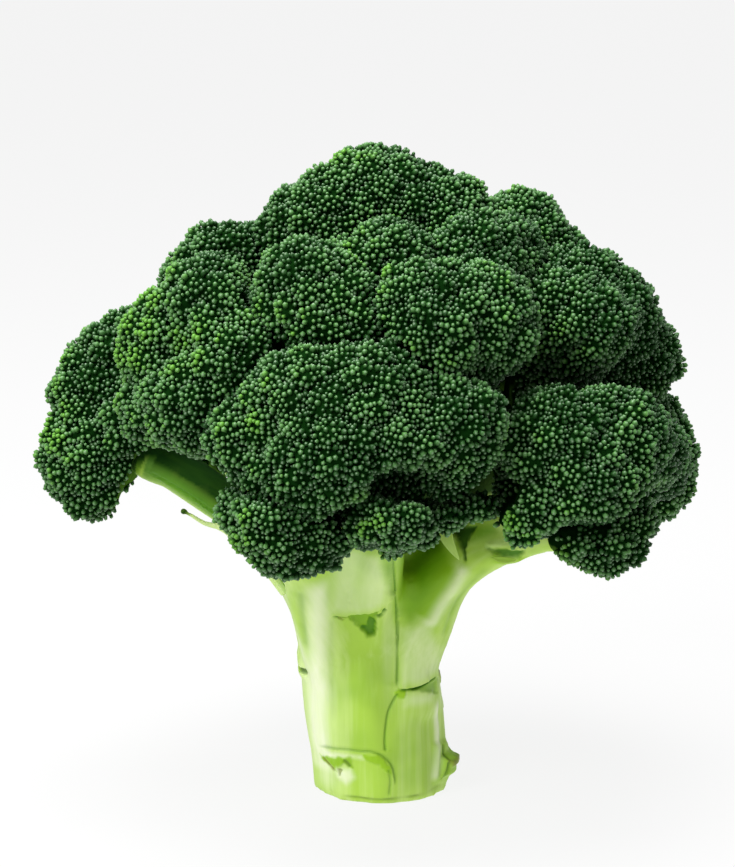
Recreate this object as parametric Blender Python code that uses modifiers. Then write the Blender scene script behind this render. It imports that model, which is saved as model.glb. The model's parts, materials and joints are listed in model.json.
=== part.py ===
"""A head of broccoli that stands on its cut stalk.

The stalk is one solid: a thick trunk that forks into branches. A floret sits on the end of
each branch. Two leaf stubs and a thin side sprig are left on the stalk. Sizes in the tables
are in millimetres, with the origin in the cut face, +Z up and the front towards -Y.
"""

import bmesh
import bpy
import numpy as np
from mathutils import Matrix, Vector

MM = 0.001

# Driving dimensions
CUT_RADIUS = 18.6
FLORET_GAP = 2.0
STALK_GAP = 0.8
LOBE_BLEND = 1.6
MOST_STEP = 0.5
STUB_THICKNESS = 1.3
STUB_GAP = 0.4
STUB_LEAN = 0.3
SPRIG_GAP = 1.5
SPRIG_BUD_RADIUS = 1.4

# Mesh detail
FLORET_TRIANGLES = 480
STALK_TRIANGLES = 4200
STALK_VOXEL = 1.5
TUBE_SIDES = 3

# The trunk from the cut face up, as (x, y, z, radius). It leans a little to the left.
TRUNK = [
    (-0.4, 0.0, -10.0, CUT_RADIUS + 0.3),
    (-1.5, 0.0, 9.8, CUT_RADIUS + 0.5),
    (-3.3, 0.0, 24.8, CUT_RADIUS + 0.9),
    (-5.2, 0.0, 37.8, CUT_RADIUS - 0.4),
    (-5.1, 1.0, 49.8, CUT_RADIUS - 1.2),
    (-3.0, 4.0, 75.8, 14.0),
    (-3.0, 5.0, 103.8, 9.0),
]

# Each floret has the branch that carries it, from the trunk to the floret's root, and the
# lobes that spread from that root. Branch points and lobes are (x, y, z, radius).
FLORETS = {
    "floret_top": (
        [(-3, 4, 83.8, 9), (-3, 4, 103.8, 8), (-3, 4, 121.8, 7)],
        [(-3, 4, 156.3, 17), (-19, -4, 150.3, 15), (16, -1, 152.3, 14.5), (-10, 2, 154.8, 14),
         (7, 2, 155.8, 13), (-16, 16, 147.8, 15), (10, 18, 147.8, 14)],
    ),
    "floret_top_front": (
        [(-3, -2, 79.8, 8), (-2, -9, 97.8, 7), (-1, -18, 115.8, 6)],
        [(0, -29, 145.8, 13), (-11, -27, 141.8, 10), (9, -34, 140.8, 10)],
    ),
    "floret_top_right": (
        [(2, 0, 79.8, 8), (8, -6, 97.8, 7), (15, -13, 115.8, 6)],
        [(23, -23, 147.8, 12), (31, -13, 146.8, 11), (17, -31, 142.8, 9), (27, -27, 140.8, 9)],
    ),
    "floret_top_back_right": (
        [(3, 8, 77.8, 8), (13, 12, 96.8, 7), (24, 15, 115.8, 6)],
        [(36, 12, 147.4, 13.5), (27, 25, 143.8, 13), (45, 6, 139.2, 11.8), (40, 22, 138.8, 12)],
    ),
    "floret_top_back": (
        [(-3, 12, 79.8, 8), (-2, 17, 97.8, 7), (-2, 24, 115.8, 6)],
        [(-2, 34, 145.8, 15), (13, 38, 139.8, 13), (-17, 34, 141.8, 13), (0, 44, 136.8, 11)],
    ),
    "floret_top_left": (
        [(-8, 5, 75.8, 8), (-17, 5, 94.8, 7), (-28, 4, 112.8, 6)],
        [(-42.8, -4, 141.8, 12.4), (-34, 5, 141.3, 12), (-48.8, 3, 135, 11.6), (-38, 18, 136.8, 11)],
    ),
    "floret_middle_right": (
        [(1, -6, 63.8, 9), (5, -15, 85.8, 8), (11, -30, 106.8, 7)],
        [(8, -49, 138.8, 13), (23, -47, 137.8, 13), (14, -54, 133.8, 12.5), (27, -47, 132.8, 11.5)],
    ),
    "floret_middle_left": (
        [(-7, -6, 65.8, 9), (-10, -14, 87.8, 8), (-14, -28, 108.8, 7)],
        [(-20, -41, 141.8, 14), (-8, -44, 137.8, 11), (-30, -36, 136.8, 10), (-17, -49, 132.8, 11),
         (-5, -50, 130.8, 8)],
    ),
    "floret_left": (
        [(-12, -4, 59.8, 9), (-21, -11, 80.8, 8), (-35, -22, 99.8, 7)],
        [(-43, -34, 135.8, 15), (-54, -30, 125.8, 14.5), (-37, -46, 123.8, 13), (-48, -45, 113.8, 13),
         (-58, -36, 110.8, 10)],
    ),
    "floret_right": (
        [(5, 0, 59.8, 9), (20, -2, 81.8, 8), (37, -5, 101.8, 7)],
        [(49, -6, 133.8, 15.7), (43, -20, 132.8, 12), (58, -8, 128.8, 14), (53, -26, 130.3, 11),
         (66, 1, 116.8, 13)],
    ),
    "floret_back_right": (
        [(5, 8, 59.8, 9), (20, 17, 79.8, 8), (37, 25, 97.8, 7)],
        [(51, 29, 127.8, 15), (59, 25, 113.8, 14), (44, 42, 121.8, 14), (56, 38, 106.8, 12)],
    ),
    "floret_back": (
        [(-3, 12, 61.8, 9), (0, 24, 81.8, 8), (3, 37, 99.8, 7)],
        [(8, 54, 127.8, 15), (-8, 54, 123.8, 14), (20, 58, 116.8, 13), (4, 64, 117.8, 12)],
    ),
    "floret_back_left": (
        [(-10, 8, 59.8, 9), (-20, 16, 79.8, 8), (-31, 25, 97.8, 7)],
        [(-38, 38, 126.8, 15), (-50, 26, 123.8, 14), (-30, 52, 118.8, 13), (-54, 34, 109.8, 13)],
    ),
    "floret_far_left": (
        [(-14.5, -2, 37.8, 8.5), (-19, -3, 53.8, 8), (-30, -4, 69.8, 7), (-44, -5, 79.8, 6.8),
         (-60, -4, 90.8, 6.8)],
        [(-73, 4, 113.6, 12.5), (-78.3, -6, 92.3, 13.5), (-66, -11, 101.8, 10), (-77, -8, 83.3, 9),
         (-71, -12, 89.8, 7.5), (-71, 15, 101.8, 13), (-73, 8, 86.8, 8), (-66, 2, 121.3, 10),
         (-79.5, -2, 107.8, 9.5)],
    ),
    "floret_front": (
        [(-6, -6, 35.8, 9), (-9, -14, 55.8, 9), (-10, -26, 73.8, 8), (-9, -42, 88.8, 8)],
        [(-20, -58, 116.8, 16), (-3, -60, 117.8, 15.5), (-12, -67, 105.8, 16), (-22, -66, 99.8, 12),
         (-36, -59, 108.8, 10), (-31, -61, 98.8, 9), (19.5, -63, 114.8, 11), (20, -65, 102.8, 10),
         (5, -68, 106.8, 11)],
    ),
    "floret_front_low": (
        [(-5, -8, 43.8, 9), (-3, -18, 57.8, 8), (-1, -32, 69.8, 6.5), (1, -47, 79.8, 5)],
        [(3, -67, 93.3, 12.5), (-5, -64, 92.8, 9.5), (19, -56, 96, 8.6), (25.5, -51, 94.3, 7.8)],
    ),
    "floret_front_left_low": (
        [(-10, -6, 27.8, 9), (-15, -13, 47.8, 9), (-19, -27, 63.8, 7.5), (-20, -42, 76.8, 6)],
        [(-25, -65, 85.8, 12), (-34, -60, 90.8, 9), (-17, -63, 83.8, 9), (-28, -70, 90.8, 9)],
    ),
    "floret_front_right": (
        [(4.9, -7, 24.8, 10.5), (5.7, -8.5, 36.8, 9.2), (8.5, -10, 45.8, 9.3), (14, -15, 60.8, 8.6),
         (25, -21, 74.3, 7.6), (40, -29, 86.8, 8)],
        [(42, -48, 104.8, 15), (57, -42, 103.8, 15), (50, -51, 94.8, 14), (65, -30, 98.8, 12),
         (70, -13, 91.8, 12), (36, -56, 87.3, 9.5), (30, -50, 99.8, 9)],
    ),
    "floret_front_right_low": (
        [(8, -12, 45.8, 7), (16, -19, 61.3, 6), (28, -27, 71.8, 5), (43, -34, 78.8, 5)],
        [(55, -46, 80.5, 11), (48, -49, 82.5, 9), (59, -42, 83.8, 9.5)],
    ),
    "floret_back_right_low": (
        [(6, 8, 43.8, 9), (14, 15, 57.8, 8), (25, 22, 70.8, 7.5), (40, 30, 82.8, 7)],
        [(50, 42, 97.8, 16), (64, 28, 93.8, 14), (40, 54, 89.8, 13), (58, 40, 83.8, 11),
         (69, 12, 96.8, 12), (73, 6, 89.8, 11), (72.8, 7, 81, 10.8)],
    ),
    "floret_back_low": (
        [(-2, 12, 43.8, 9), (0, 20, 57.8, 8), (1, 31, 70.8, 7.5), (2, 44, 81.8, 7)],
        [(4, 62, 105.8, 17), (-12, 64, 99.8, 14), (18, 62, 97.8, 14), (2, 68, 89.8, 13)],
    ),
    "floret_back_left_low": (
        [(-10, 8, 43.8, 9), (-18, 15, 58.8, 8), (-28, 23, 71.8, 7.5), (-38, 31, 81.8, 7)],
        [(-48, 44, 101.8, 16), (-61, 30, 95.8, 13), (-38, 54, 91.8, 13), (-52, 46, 85.8, 11)],
    ),
}

# Leaf stubs: the place on the stalk that each grows from, which way it points, its length
# and its width at the root.
LEAF_STUBS = {
    "leaf_stub_fork": ((20.0, -27.0, 69.6), (-0.45, 0.1, 0.9), 9.0, 2.6),
    "leaf_stub_branch": ((28.0, -31.5, 71.8), (1.0, -0.5, 0.12), 7.5, 3.2),
}

# The side sprig, from the stalk's skin out to its one bud, as (x, y, z, radius).
SPRIG = [
    (-26.0, -17.0, 57.8, 1.4),
    (-34.0, -17.0, 68.3, 1.3),
    (-42.0, -15.0, 74.6, 1.1),
    (-47.0, -14.0, 75.8, 0.7),
    (-52.0, -14.0, 79, 0.5),
]


def material(name, colour, roughness):
    """A plain finish of one colour."""
    made = bpy.data.materials.new(name)
    made.use_nodes = True
    shader = made.node_tree.nodes["Principled BSDF"]
    shader.inputs["Base Color"].default_value = (*colour, 1.0)
    shader.inputs["Roughness"].default_value = roughness
    shader.inputs["Metallic"].default_value = 0.0
    made.diffuse_color = (*colour, 1.0)
    return made


def smooth_path(points, steps=6):
    """Points along a Catmull-Rom curve through the given ones, each with its radius."""
    points = np.array(points, float)
    ends = np.vstack([2 * points[0] - points[1], points, 2 * points[-1] - points[-2]])
    path = []
    for before, start, end, after in zip(ends, ends[1:], ends[2:], ends[3:]):
        for t in np.arange(steps) / steps:
            path.append(
                0.5 * (2 * start + (end - before) * t
                       + (2 * before - 5 * start + 4 * end - after) * t ** 2
                       + (3 * start - before - 3 * end + after) * t ** 3)
            )
    path.append(points[-1])
    return np.array(path)


def cones_along(path):
    """The round-ended cones between neighbouring points of a path, as (start, end) rows."""
    return np.stack([path[:-1], path[1:]], axis=1)


def cone_distance(places, cones):
    """How far each place is outside each round-ended cone, as an array (places, cones)."""
    start, end = cones[:, 0], cones[:, 1]
    along = end[:, :3] - start[:, :3]
    length = np.maximum((along ** 2).sum(1), 1e-9)
    offset = places[:, None, :] - start[None, :, :3]
    share = np.clip(np.einsum("pcx,cx->pc", offset, along) / length, 0.0, 1.0)
    nearest = offset - share[..., None] * along
    distance = np.sqrt(np.einsum("pcx,pcx->pc", nearest, nearest))
    return distance - (start[:, 3] + share * (end[:, 3] - start[:, 3]))


def blended(distances, blend):
    """The smooth union of the columns: the creases between them are rounded."""
    least = distances.min(1)
    return least - blend * np.log(np.exp((least[:, None] - distances) / blend).sum(1))


def near(cones, centre, reach):
    """The cones whose outer ball comes within reach of the centre."""
    return cones[np.linalg.norm(cones[:, 1, :3] - centre, axis=1) - cones[:, 1, 3] < reach]


def floret_field(places, own, others, stalk):
    """Below zero inside the floret, which keeps clear of its neighbours and of the stalk."""
    inside = blended(cone_distance(places, own), LOBE_BLEND)
    neighbour = cone_distance(places, others).min(1)
    branch = cone_distance(places, stalk).min(1)
    return np.maximum.reduce([inside, (inside - neighbour + FLORET_GAP) / 2, STALK_GAP - branch])


def skin_distance(centre, directions, field, reach, step=1.5):
    """How far the floret's skin is from the centre in each direction."""
    inner = np.zeros(len(directions))
    open_rays = np.ones(len(directions), bool)
    for distance in np.arange(step, reach, step):
        rays = np.flatnonzero(open_rays)
        inside = field(centre + directions[rays] * distance) < 0
        inner[rays[inside]] = distance
        open_rays[rays[~inside]] = False
        if not open_rays.any():
            break
    outer = inner + step
    for _ in range(6):
        middle = (inner + outer) / 2
        inside = field(centre + directions * middle[:, None]) < 0
        inner = np.where(inside, middle, inner)
        outer = np.where(inside, outer, middle)
    return inner


def without_cliffs(skin, edges, rounds=12):
    """The skin distances, lowered where one stands far above its neighbours on the ball."""
    first, second = edges.T
    neighbours = np.bincount(edges.ravel(), minlength=len(skin))
    for _ in range(rounds):
        total = np.bincount(first, skin[second], len(skin))
        total += np.bincount(second, skin[first], len(skin))
        skin = np.minimum(skin, total / neighbours + MOST_STEP)
    return skin


def add_object(name, mesh, finish, collection):
    """An object of this mesh in the collection, smooth and with its finish."""
    made = bpy.data.objects.new(name, mesh)
    mesh.materials.append(finish)
    mesh.shade_smooth()
    collection.objects.link(made)
    return made


def add_floret(name, cones, stalk, finish, collection):
    """A floret: a ball pushed out to the skin of its lobes, then thinned to fewer faces."""
    own = cones[name]
    root = own[0, 0, :3]
    centre = root + 0.62 * (own[:, 1, :3].mean(0) - root)
    reach = np.linalg.norm(own[:, 1, :3] - centre, axis=1).max() + own[:, 1, 3].max()
    others = np.concatenate([rows for other, rows in cones.items() if other != name])
    others = near(others, centre, reach)
    stalk = near(stalk, centre, reach)
    shape = bmesh.new()
    bmesh.ops.create_icosphere(shape, subdivisions=5, radius=1.0)
    directions = np.array([vertex.co for vertex in shape.verts])
    directions /= np.linalg.norm(directions, axis=1)[:, None]
    skin = skin_distance(
        centre, directions, lambda places: floret_field(places, own, others, stalk), reach
    )
    edges = np.array([[vertex.index for vertex in edge.verts] for edge in shape.edges])
    skin = without_cliffs(skin, edges)
    for vertex, place in zip(shape.verts, (centre + directions * skin[:, None]) * MM):
        vertex.co = place
    mesh = bpy.data.meshes.new(name)
    shape.to_mesh(mesh)
    shape.free()
    floret = add_object(name, mesh, finish, collection)
    thin = floret.modifiers.new("Thin", "DECIMATE")
    thin.ratio = FLORET_TRIANGLES / len(mesh.polygons)
    thin.use_collapse_triangulate = True
    return floret


def tube_mesh(path, sides=TUBE_SIDES):
    """A round tube with closed ends along a path, as a mesh."""
    curve = bpy.data.curves.new("strand", "CURVE")
    curve.dimensions = "3D"
    curve.bevel_depth = MM
    curve.bevel_resolution = sides
    curve.use_fill_caps = True
    spline = curve.splines.new("POLY")
    spline.points.add(len(path) - 1)
    for point, (x, y, z, radius) in zip(spline.points, path):
        point.co = (x * MM, y * MM, z * MM, 1.0)
        point.radius = radius
    guide = bpy.data.objects.new("strand", curve)
    bpy.context.scene.collection.objects.link(guide)
    graph = bpy.context.evaluated_depsgraph_get()
    mesh = bpy.data.meshes.new_from_object(guide.evaluated_get(graph))
    bpy.data.objects.remove(guide)
    return mesh


def add_ball(shape, x, y, z, radius, subdivisions):
    ball = bmesh.ops.create_icosphere(shape, subdivisions=subdivisions, radius=radius * MM)
    bmesh.ops.translate(shape, verts=ball["verts"], vec=(x * MM, y * MM, z * MM))


def evaluated_mesh(made):
    graph = bpy.context.evaluated_depsgraph_get()
    return bpy.data.meshes.new_from_object(made.evaluated_get(graph))


def cut_level(shape):
    """Cuts off what is below the origin and closes the cut with one flat face."""
    cut = bmesh.ops.bisect_plane(
        shape, geom=shape.verts[:] + shape.edges[:] + shape.faces[:], dist=1e-6,
        plane_co=(0, 0, 0), plane_no=(0, 0, -1), clear_outer=True,
    )
    rim = [item for item in cut["geom_cut"] if isinstance(item, bmesh.types.BMEdge)]
    bmesh.ops.contextual_create(shape, geom=rim)
    bmesh.ops.recalc_face_normals(shape, faces=shape.faces)


def add_stalk(paths, finish, collection):
    """The trunk and its branches as one solid with a flat cut face at the bottom."""
    shape = bmesh.new()
    for path in paths:
        shape.from_mesh(tube_mesh(path))
        add_ball(shape, *path[-1], subdivisions=3)
    bmesh.ops.remove_doubles(shape, verts=shape.verts, dist=1e-6)
    mesh = bpy.data.meshes.new("stalk")
    shape.to_mesh(mesh)
    shape.free()
    stalk = add_object("stalk", mesh, finish, collection)
    fuse = stalk.modifiers.new("Fuse", "REMESH")
    fuse.mode = "VOXEL"
    fuse.voxel_size = STALK_VOXEL * MM
    soften = stalk.modifiers.new("Soften", "SMOOTH")
    soften.factor = 0.5
    soften.iterations = 3
    thin = stalk.modifiers.new("Thin", "DECIMATE")
    thin.ratio = STALK_TRIANGLES / (2 * len(evaluated_mesh(stalk).polygons))
    thin.use_collapse_triangulate = True
    shape = bmesh.new()
    shape.from_mesh(evaluated_mesh(stalk))
    stalk.modifiers.clear()
    cut_level(shape)
    shape.to_mesh(stalk.data)
    shape.free()
    return stalk


def on_skin(stalk, place, clearance):
    """The place on the stalk's skin nearest to the one given, moved out by a clearance, and
    the way that the skin faces there."""
    _, point, outward, _ = stalk.closest_point_on_mesh(Vector(place) * MM)
    return point + outward * clearance * MM, outward


def add_leaf_stub(name, stalk, place, direction, length, width, finish, collection):
    """A short pointed flap, cupped across its width, that stands on the stalk's skin."""
    root, outward = on_skin(stalk, place, STUB_THICKNESS / 2 + STUB_GAP)
    shape = bmesh.new()
    bmesh.ops.create_grid(shape, x_segments=4, y_segments=5, size=0.5)
    for vertex in shape.verts:
        across, along = vertex.co.x, vertex.co.y + 0.5
        narrowing = (1.0 - along) ** 0.7 + 0.06
        cupped = 0.25 * width * narrowing * (2 * across) ** 2
        vertex.co = Vector((across * width * narrowing, along * length, cupped)) * MM
    mesh = bpy.data.meshes.new(name)
    shape.to_mesh(mesh)
    shape.free()
    stub = add_object(name, mesh, finish, collection)
    flat_way = Vector(direction) - outward * outward.dot(Vector(direction))
    lengthwise = (flat_way.normalized() + outward * STUB_LEAN).normalized()
    sideways = lengthwise.cross(outward).normalized()
    turn = Matrix((sideways, lengthwise, sideways.cross(lengthwise))).transposed().to_4x4()
    stub.matrix_world = Matrix.Translation(root) @ turn
    thick = stub.modifiers.new("Thickness", "SOLIDIFY")
    thick.thickness = STUB_THICKNESS * MM
    thick.offset = 0.0
    return stub


def add_sprig(stalk, finish, collection):
    """The side sprig: a thin stem with one closed bud on its end."""
    root, _ = on_skin(stalk, SPRIG[0][:3], SPRIG_GAP)
    route = [(*(root / MM), SPRIG[0][3]), *SPRIG[1:]]
    shape = bmesh.new()
    shape.from_mesh(tube_mesh(smooth_path(route, steps=3), sides=1))
    bmesh.ops.remove_doubles(shape, verts=shape.verts, dist=1e-6)
    stem = bpy.data.meshes.new("side_sprig")
    shape.to_mesh(stem)
    shape.clear()
    sprig = add_object("side_sprig", stem, finish, collection)
    x, y, z, _ = SPRIG[-1]
    add_ball(shape, x, y, z, SPRIG_BUD_RADIUS, subdivisions=2)
    bud_mesh = bpy.data.meshes.new("sprig_bud")
    shape.to_mesh(bud_mesh)
    shape.free()
    bud = bpy.data.objects.new("sprig_bud", bud_mesh)
    bud.hide_render = True
    bud.display_type = "WIRE"
    helpers = bpy.data.collections.new("helpers")
    bpy.context.scene.collection.children.link(helpers)
    helpers.objects.link(bud)
    join = sprig.modifiers.new("Bud", "BOOLEAN")
    join.operation = "UNION"
    join.object = bud
    return sprig


def main():
    for old in list(bpy.data.objects):
        bpy.data.objects.remove(old)
    head = bpy.data.collections.new("broccoli_head")
    bpy.context.scene.collection.children.link(head)
    stalk_green = material("stalk_green", (0.40, 0.60, 0.12), 0.35)
    stub_green = material("stub_green", (0.32, 0.52, 0.08), 0.4)
    bud_green = material("bud_green", (0.04, 0.12, 0.03), 0.6)

    paths = [smooth_path(TRUNK)] + [smooth_path(branch) for branch, _ in FLORETS.values()]
    stalk = add_stalk(paths, stalk_green, head)
    stalk_cones = np.concatenate([cones_along(path) for path in paths])
    cones = {
        name: np.array([[branch[-1], lobe] for lobe in lobes], float)
        for name, (branch, lobes) in FLORETS.items()
    }
    for name in FLORETS:
        add_floret(name, cones, stalk_cones, bud_green, head)
    for name, (place, direction, length, width) in LEAF_STUBS.items():
        add_leaf_stub(name, stalk, place, direction, length, width, stub_green, head)
    add_sprig(stalk, stub_green, head)


main()
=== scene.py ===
"""The finished look of a head of broccoli, laid out as an add-on.

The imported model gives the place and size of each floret, of the stalk, the leaf stubs and the
side sprig. Round them this file grows the flesh of the florets, their closed buds, a sculpted
stalk and a small studio. Lengths are in metres unless a name ends in _mm, +Z is up, and the
front of the head looks towards -Y.
"""

import json
import math

import bmesh
import bpy
import numpy as np
from bpy.props import FloatProperty, FloatVectorProperty, IntProperty, PointerProperty
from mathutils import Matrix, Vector, noise
from mathutils.bvhtree import BVHTree
from mathutils.kdtree import KDTree

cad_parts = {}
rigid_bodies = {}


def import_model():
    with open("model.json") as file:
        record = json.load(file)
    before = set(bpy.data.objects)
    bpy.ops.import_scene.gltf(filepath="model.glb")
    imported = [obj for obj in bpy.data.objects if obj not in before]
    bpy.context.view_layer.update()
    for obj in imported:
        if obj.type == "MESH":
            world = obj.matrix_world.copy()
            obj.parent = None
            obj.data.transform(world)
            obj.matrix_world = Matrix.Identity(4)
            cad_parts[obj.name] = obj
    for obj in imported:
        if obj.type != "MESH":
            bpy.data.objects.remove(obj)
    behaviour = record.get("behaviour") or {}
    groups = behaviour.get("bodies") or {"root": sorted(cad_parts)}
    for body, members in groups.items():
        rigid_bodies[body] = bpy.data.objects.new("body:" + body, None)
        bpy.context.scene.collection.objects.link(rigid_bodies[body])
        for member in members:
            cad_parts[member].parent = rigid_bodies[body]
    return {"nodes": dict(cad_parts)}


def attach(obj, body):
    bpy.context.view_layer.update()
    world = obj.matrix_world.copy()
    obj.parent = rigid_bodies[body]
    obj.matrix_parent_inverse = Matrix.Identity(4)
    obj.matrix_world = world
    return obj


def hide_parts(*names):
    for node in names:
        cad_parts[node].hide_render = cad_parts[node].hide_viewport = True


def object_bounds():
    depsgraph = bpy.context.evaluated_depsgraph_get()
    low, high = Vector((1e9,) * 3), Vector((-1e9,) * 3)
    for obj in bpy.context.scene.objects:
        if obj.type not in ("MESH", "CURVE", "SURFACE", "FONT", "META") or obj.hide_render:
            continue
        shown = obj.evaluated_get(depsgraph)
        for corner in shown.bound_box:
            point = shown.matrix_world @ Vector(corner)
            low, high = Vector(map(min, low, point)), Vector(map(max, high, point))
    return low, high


for startup_object in list(bpy.data.objects):
    bpy.data.objects.remove(startup_object)
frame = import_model()
model_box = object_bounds()

bl_info = {
    "name": "Broccoli Head",
    "version": (1, 0, 0),
    "blender": (4, 5, 0),
    "location": "View3D > Sidebar > Broccoli",
    "description": "Grows buds, flesh and a sculpted stalk round the packed broccoli head",
    "category": "Object",
}

MM = 0.001
FLORETS = sorted(name for name in frame["nodes"] if name.startswith("floret_"))
# The place low in the head that every floret's branch comes from.
HEART = Vector((-3.0, 3.0, 74.0)) * MM
# The colours painted on the stalk's skin, in the order in which they cover each other. Besides
# the skin's own colours, the two darker greens carry painted shade and the lime carries painted
# light on the far left branch.
LAYERS = ("pale", "lime", "deep", "dusk", "scar")
# Where the buds are riper and yellower: places on the crown, and how far round each, in millimetres.
RIPE_PLACES = [
    (3, -57, 148, 9), (-38, -68, 112, 10), (-35, -74, 87, 10), (2, -79, 91, 9), (48, -57, 79, 9),
    (-56, -41, 138, 10), (-62, -42, 122, 9), (60, -38, 90, 8), (34, -64, 84, 5),
]
# Where a floret's skin swells past its solid: a place, how far round it, and which way, all in
# millimetres.
SWELLS = {
    "floret_front": [((19, -61, 93), 10, (0, 0, -6.5)), ((28, -58, 97), 9, (0, -1, -6.5))],
    "floret_front_low": [((3, -72, 101), 9, (0, -4, 2)), ((22, -58, 99), 8, (0, -2, 3))],
}


def colour_property(name, description, red, green, blue):
    """A colour that is given as it looks on a screen, from 0 to 255."""
    shown = [channel / 255 for channel in (red, green, blue)]
    linear = [v / 12.92 if v <= 0.04045 else ((v + 0.055) / 1.055) ** 2.4 for v in shown]
    return FloatVectorProperty(
        name=name, description=description, subtype="COLOR", size=3, min=0.0, max=1.0, default=linear
    )


def length_property(name, description, millimetres):
    return FloatProperty(
        name=name, description=description, default=millimetres * MM, min=0.0, unit="LENGTH", precision=5
    )


def share_property(name, description, default, most=1.0):
    return FloatProperty(
        name=name, description=description, default=default, min=0.0, max=most, subtype="FACTOR"
    )


def power_property(name, description, watts):
    return FloatProperty(name=name, description=description, default=watts, min=0.0, subtype="POWER")


class BroccoliFleshSettings(bpy.types.PropertyGroup):
    voxel: length_property("Voxel", "Grain of the remeshed floret skin", 1.4)
    inset: length_property("Inset", "How far the skin lies inside the model's floret", 0.8)
    cell: length_property("Cluster Size", "Distance between neighbouring clusters of buds", 7.0)
    cushion: length_property("Cluster Height", "How far a cluster stands above its edges", 1.2)
    faces: IntProperty(name="Faces", description="Triangles left on each skin", default=2300, min=500)
    sink: length_property("Sink", "How far the visible skin lies below the buds' feet", 0.2)
    pit: length_property("Pit Depth", "How deep the holes are where clusters meet", 1.5)
    crease: FloatProperty(name="Crease", description="How much the folds are deepened", default=2.5, min=0.0)
    # Painted shade: this dark green stands in for the shade between the buds and in crevices between
    # florets.
    shade: colour_property("Shade", "Skin between the buds", 14, 46, 12)
    under: colour_property("Underside", "Branchlets below the buds", 112, 156, 56)
    seed: IntProperty(name="Seed", description="Which clusters grow", default=7)


class BroccoliBudSettings(bpy.types.PropertyGroup):
    spacing: length_property("Spacing", "Distance between neighbouring buds", 1.40)
    radius: length_property("Radius", "Half a bud's width", 0.68)
    length: length_property("Length", "Half a bud's length", 0.92)
    lift: length_property("Lift", "How far a bud's middle stands above the skin", 0.36)
    unevenness: length_property("Unevenness", "How much the buds' height varies", 0.34)
    spread: share_property("Size Spread", "How much the buds' size varies", 0.32)
    rounds: IntProperty(name="Rounds", description="Rounds of evening out the buds", default=1, min=0)
    seed: IntProperty(name="Seed", description="Where the buds start", default=3)
    # Painted shade: the lower part of each bud is darker, standing in for the shade between neighbouring
    # buds.
    base: colour_property("Base", "The lower part of a bud", 28, 68, 23)
    # The deep green is the colour of the darkest buds, partly their own and partly painted shade at cluster
    # edges, in pits and in crevices.
    deep: colour_property("Deep Green", "The darkest buds", 31, 72, 28)
    leaf: colour_property("Leaf Green", "Most of the buds", 80, 128, 66)
    # The yellow green is the colour of ripe buds and rims, and also painted light on sides that face left.
    ripe: colour_property("Yellow Green", "Buds at the rim of a floret", 98, 158, 48)
    # The bloom colour is the buds' waxy bloom and also a painted highlight on their tips.
    bloom_and_highlight: colour_property("Bloom", "The waxy tip of a bud", 138, 164, 132)


class BroccoliStalkSettings(bpy.types.PropertyGroup):
    voxel: length_property("Voxel", "Grain of the remeshed stalk", 1.35)
    flesh: colour_property("Flesh", "The stalk's skin", 176, 216, 74)
    light: colour_property("Light Streaks", "Paler strands in the skin", 206, 234, 132)
    cream: colour_property("Cream", "Ridges and the lips of scars", 238, 248, 206)
    lime: colour_property("Lime", "Fresh tissue at the scars", 150, 198, 16)
    # This green is the skin's own saturated colour, and also painted shade under the crown and under the
    # lips of scars.
    green: colour_property("Green", "Saturated parts of the skin", 84, 144, 0)
    # Painted shade: this dark green stands in for the shade under the crown, in slits, pockets and the
    # fork's crotch and under scar lips; it is also the real colour of the side sprig's tip.
    dusk: colour_property("Dusk", "Skin that faces up under the crown", 10, 58, 0)
    scar: colour_property("Scar", "Torn and dried tissue", 128, 132, 48)


class BroccoliStudioSettings(bpy.types.PropertyGroup):
    floor: colour_property("Floor", "Floor and background", 245, 245, 245)
    softness: share_property("Shadow", "How much of the shadow shows on the floor", 0.09)
    glow: share_property("Glow", "How bright the floor is by itself", 1.05, most=2.0)
    fill: share_property("Fill", "Light from all round", 0.36, most=3.0)
    key: power_property("Key", "The power of the light at the front", 9.0)
    top: power_property("Top", "The overhead light's power", 11.0)
    distance: length_property("Camera Distance", "From the middle of the head", 763.0)
    elevation: FloatProperty(
        name="Camera Elevation", description="Above the horizon", default=math.radians(12), subtype="ANGLE"
    )
    lens: FloatProperty(name="Lens", description="Focal length in millimetres", default=120.0, min=10.0)


# ---------------------------------------------------------------------------------------------
# Materials


class Wire:
    """A socket of a shader. Arithmetic on it adds Math nodes."""

    def __init__(self, finish, socket):
        self.finish = finish
        self.socket = socket

    def maths(self, operation, *values, clamp=False):
        sockets = dict(enumerate(values))
        return self.finish.node("ShaderNodeMath", {"operation": operation, "use_clamp": clamp}, sockets)

    def __add__(self, other):
        return self.maths("ADD", self, other)

    def __sub__(self, other):
        return self.maths("SUBTRACT", self, other)

    def __mul__(self, other):
        return self.maths("MULTIPLY", self, other)

    def __truediv__(self, other):
        return self.maths("DIVIDE", self, other)

    def __pow__(self, other):
        return self.maths("POWER", self, other)

    def __rsub__(self, other):
        return self.maths("SUBTRACT", other, self)

    __radd__ = __add__
    __rmul__ = __mul__

    def clamped(self):
        return self.maths("ADD", self, 0.0, clamp=True)

    def between(self, low, high):
        """0 below low, 1 above high, and a smooth rise from one to the other."""
        settings = {"interpolation_type": "SMOOTHSTEP"}
        return self.finish.node("ShaderNodeMapRange", settings, {"Value": self, 1: low, 2: high})


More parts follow.
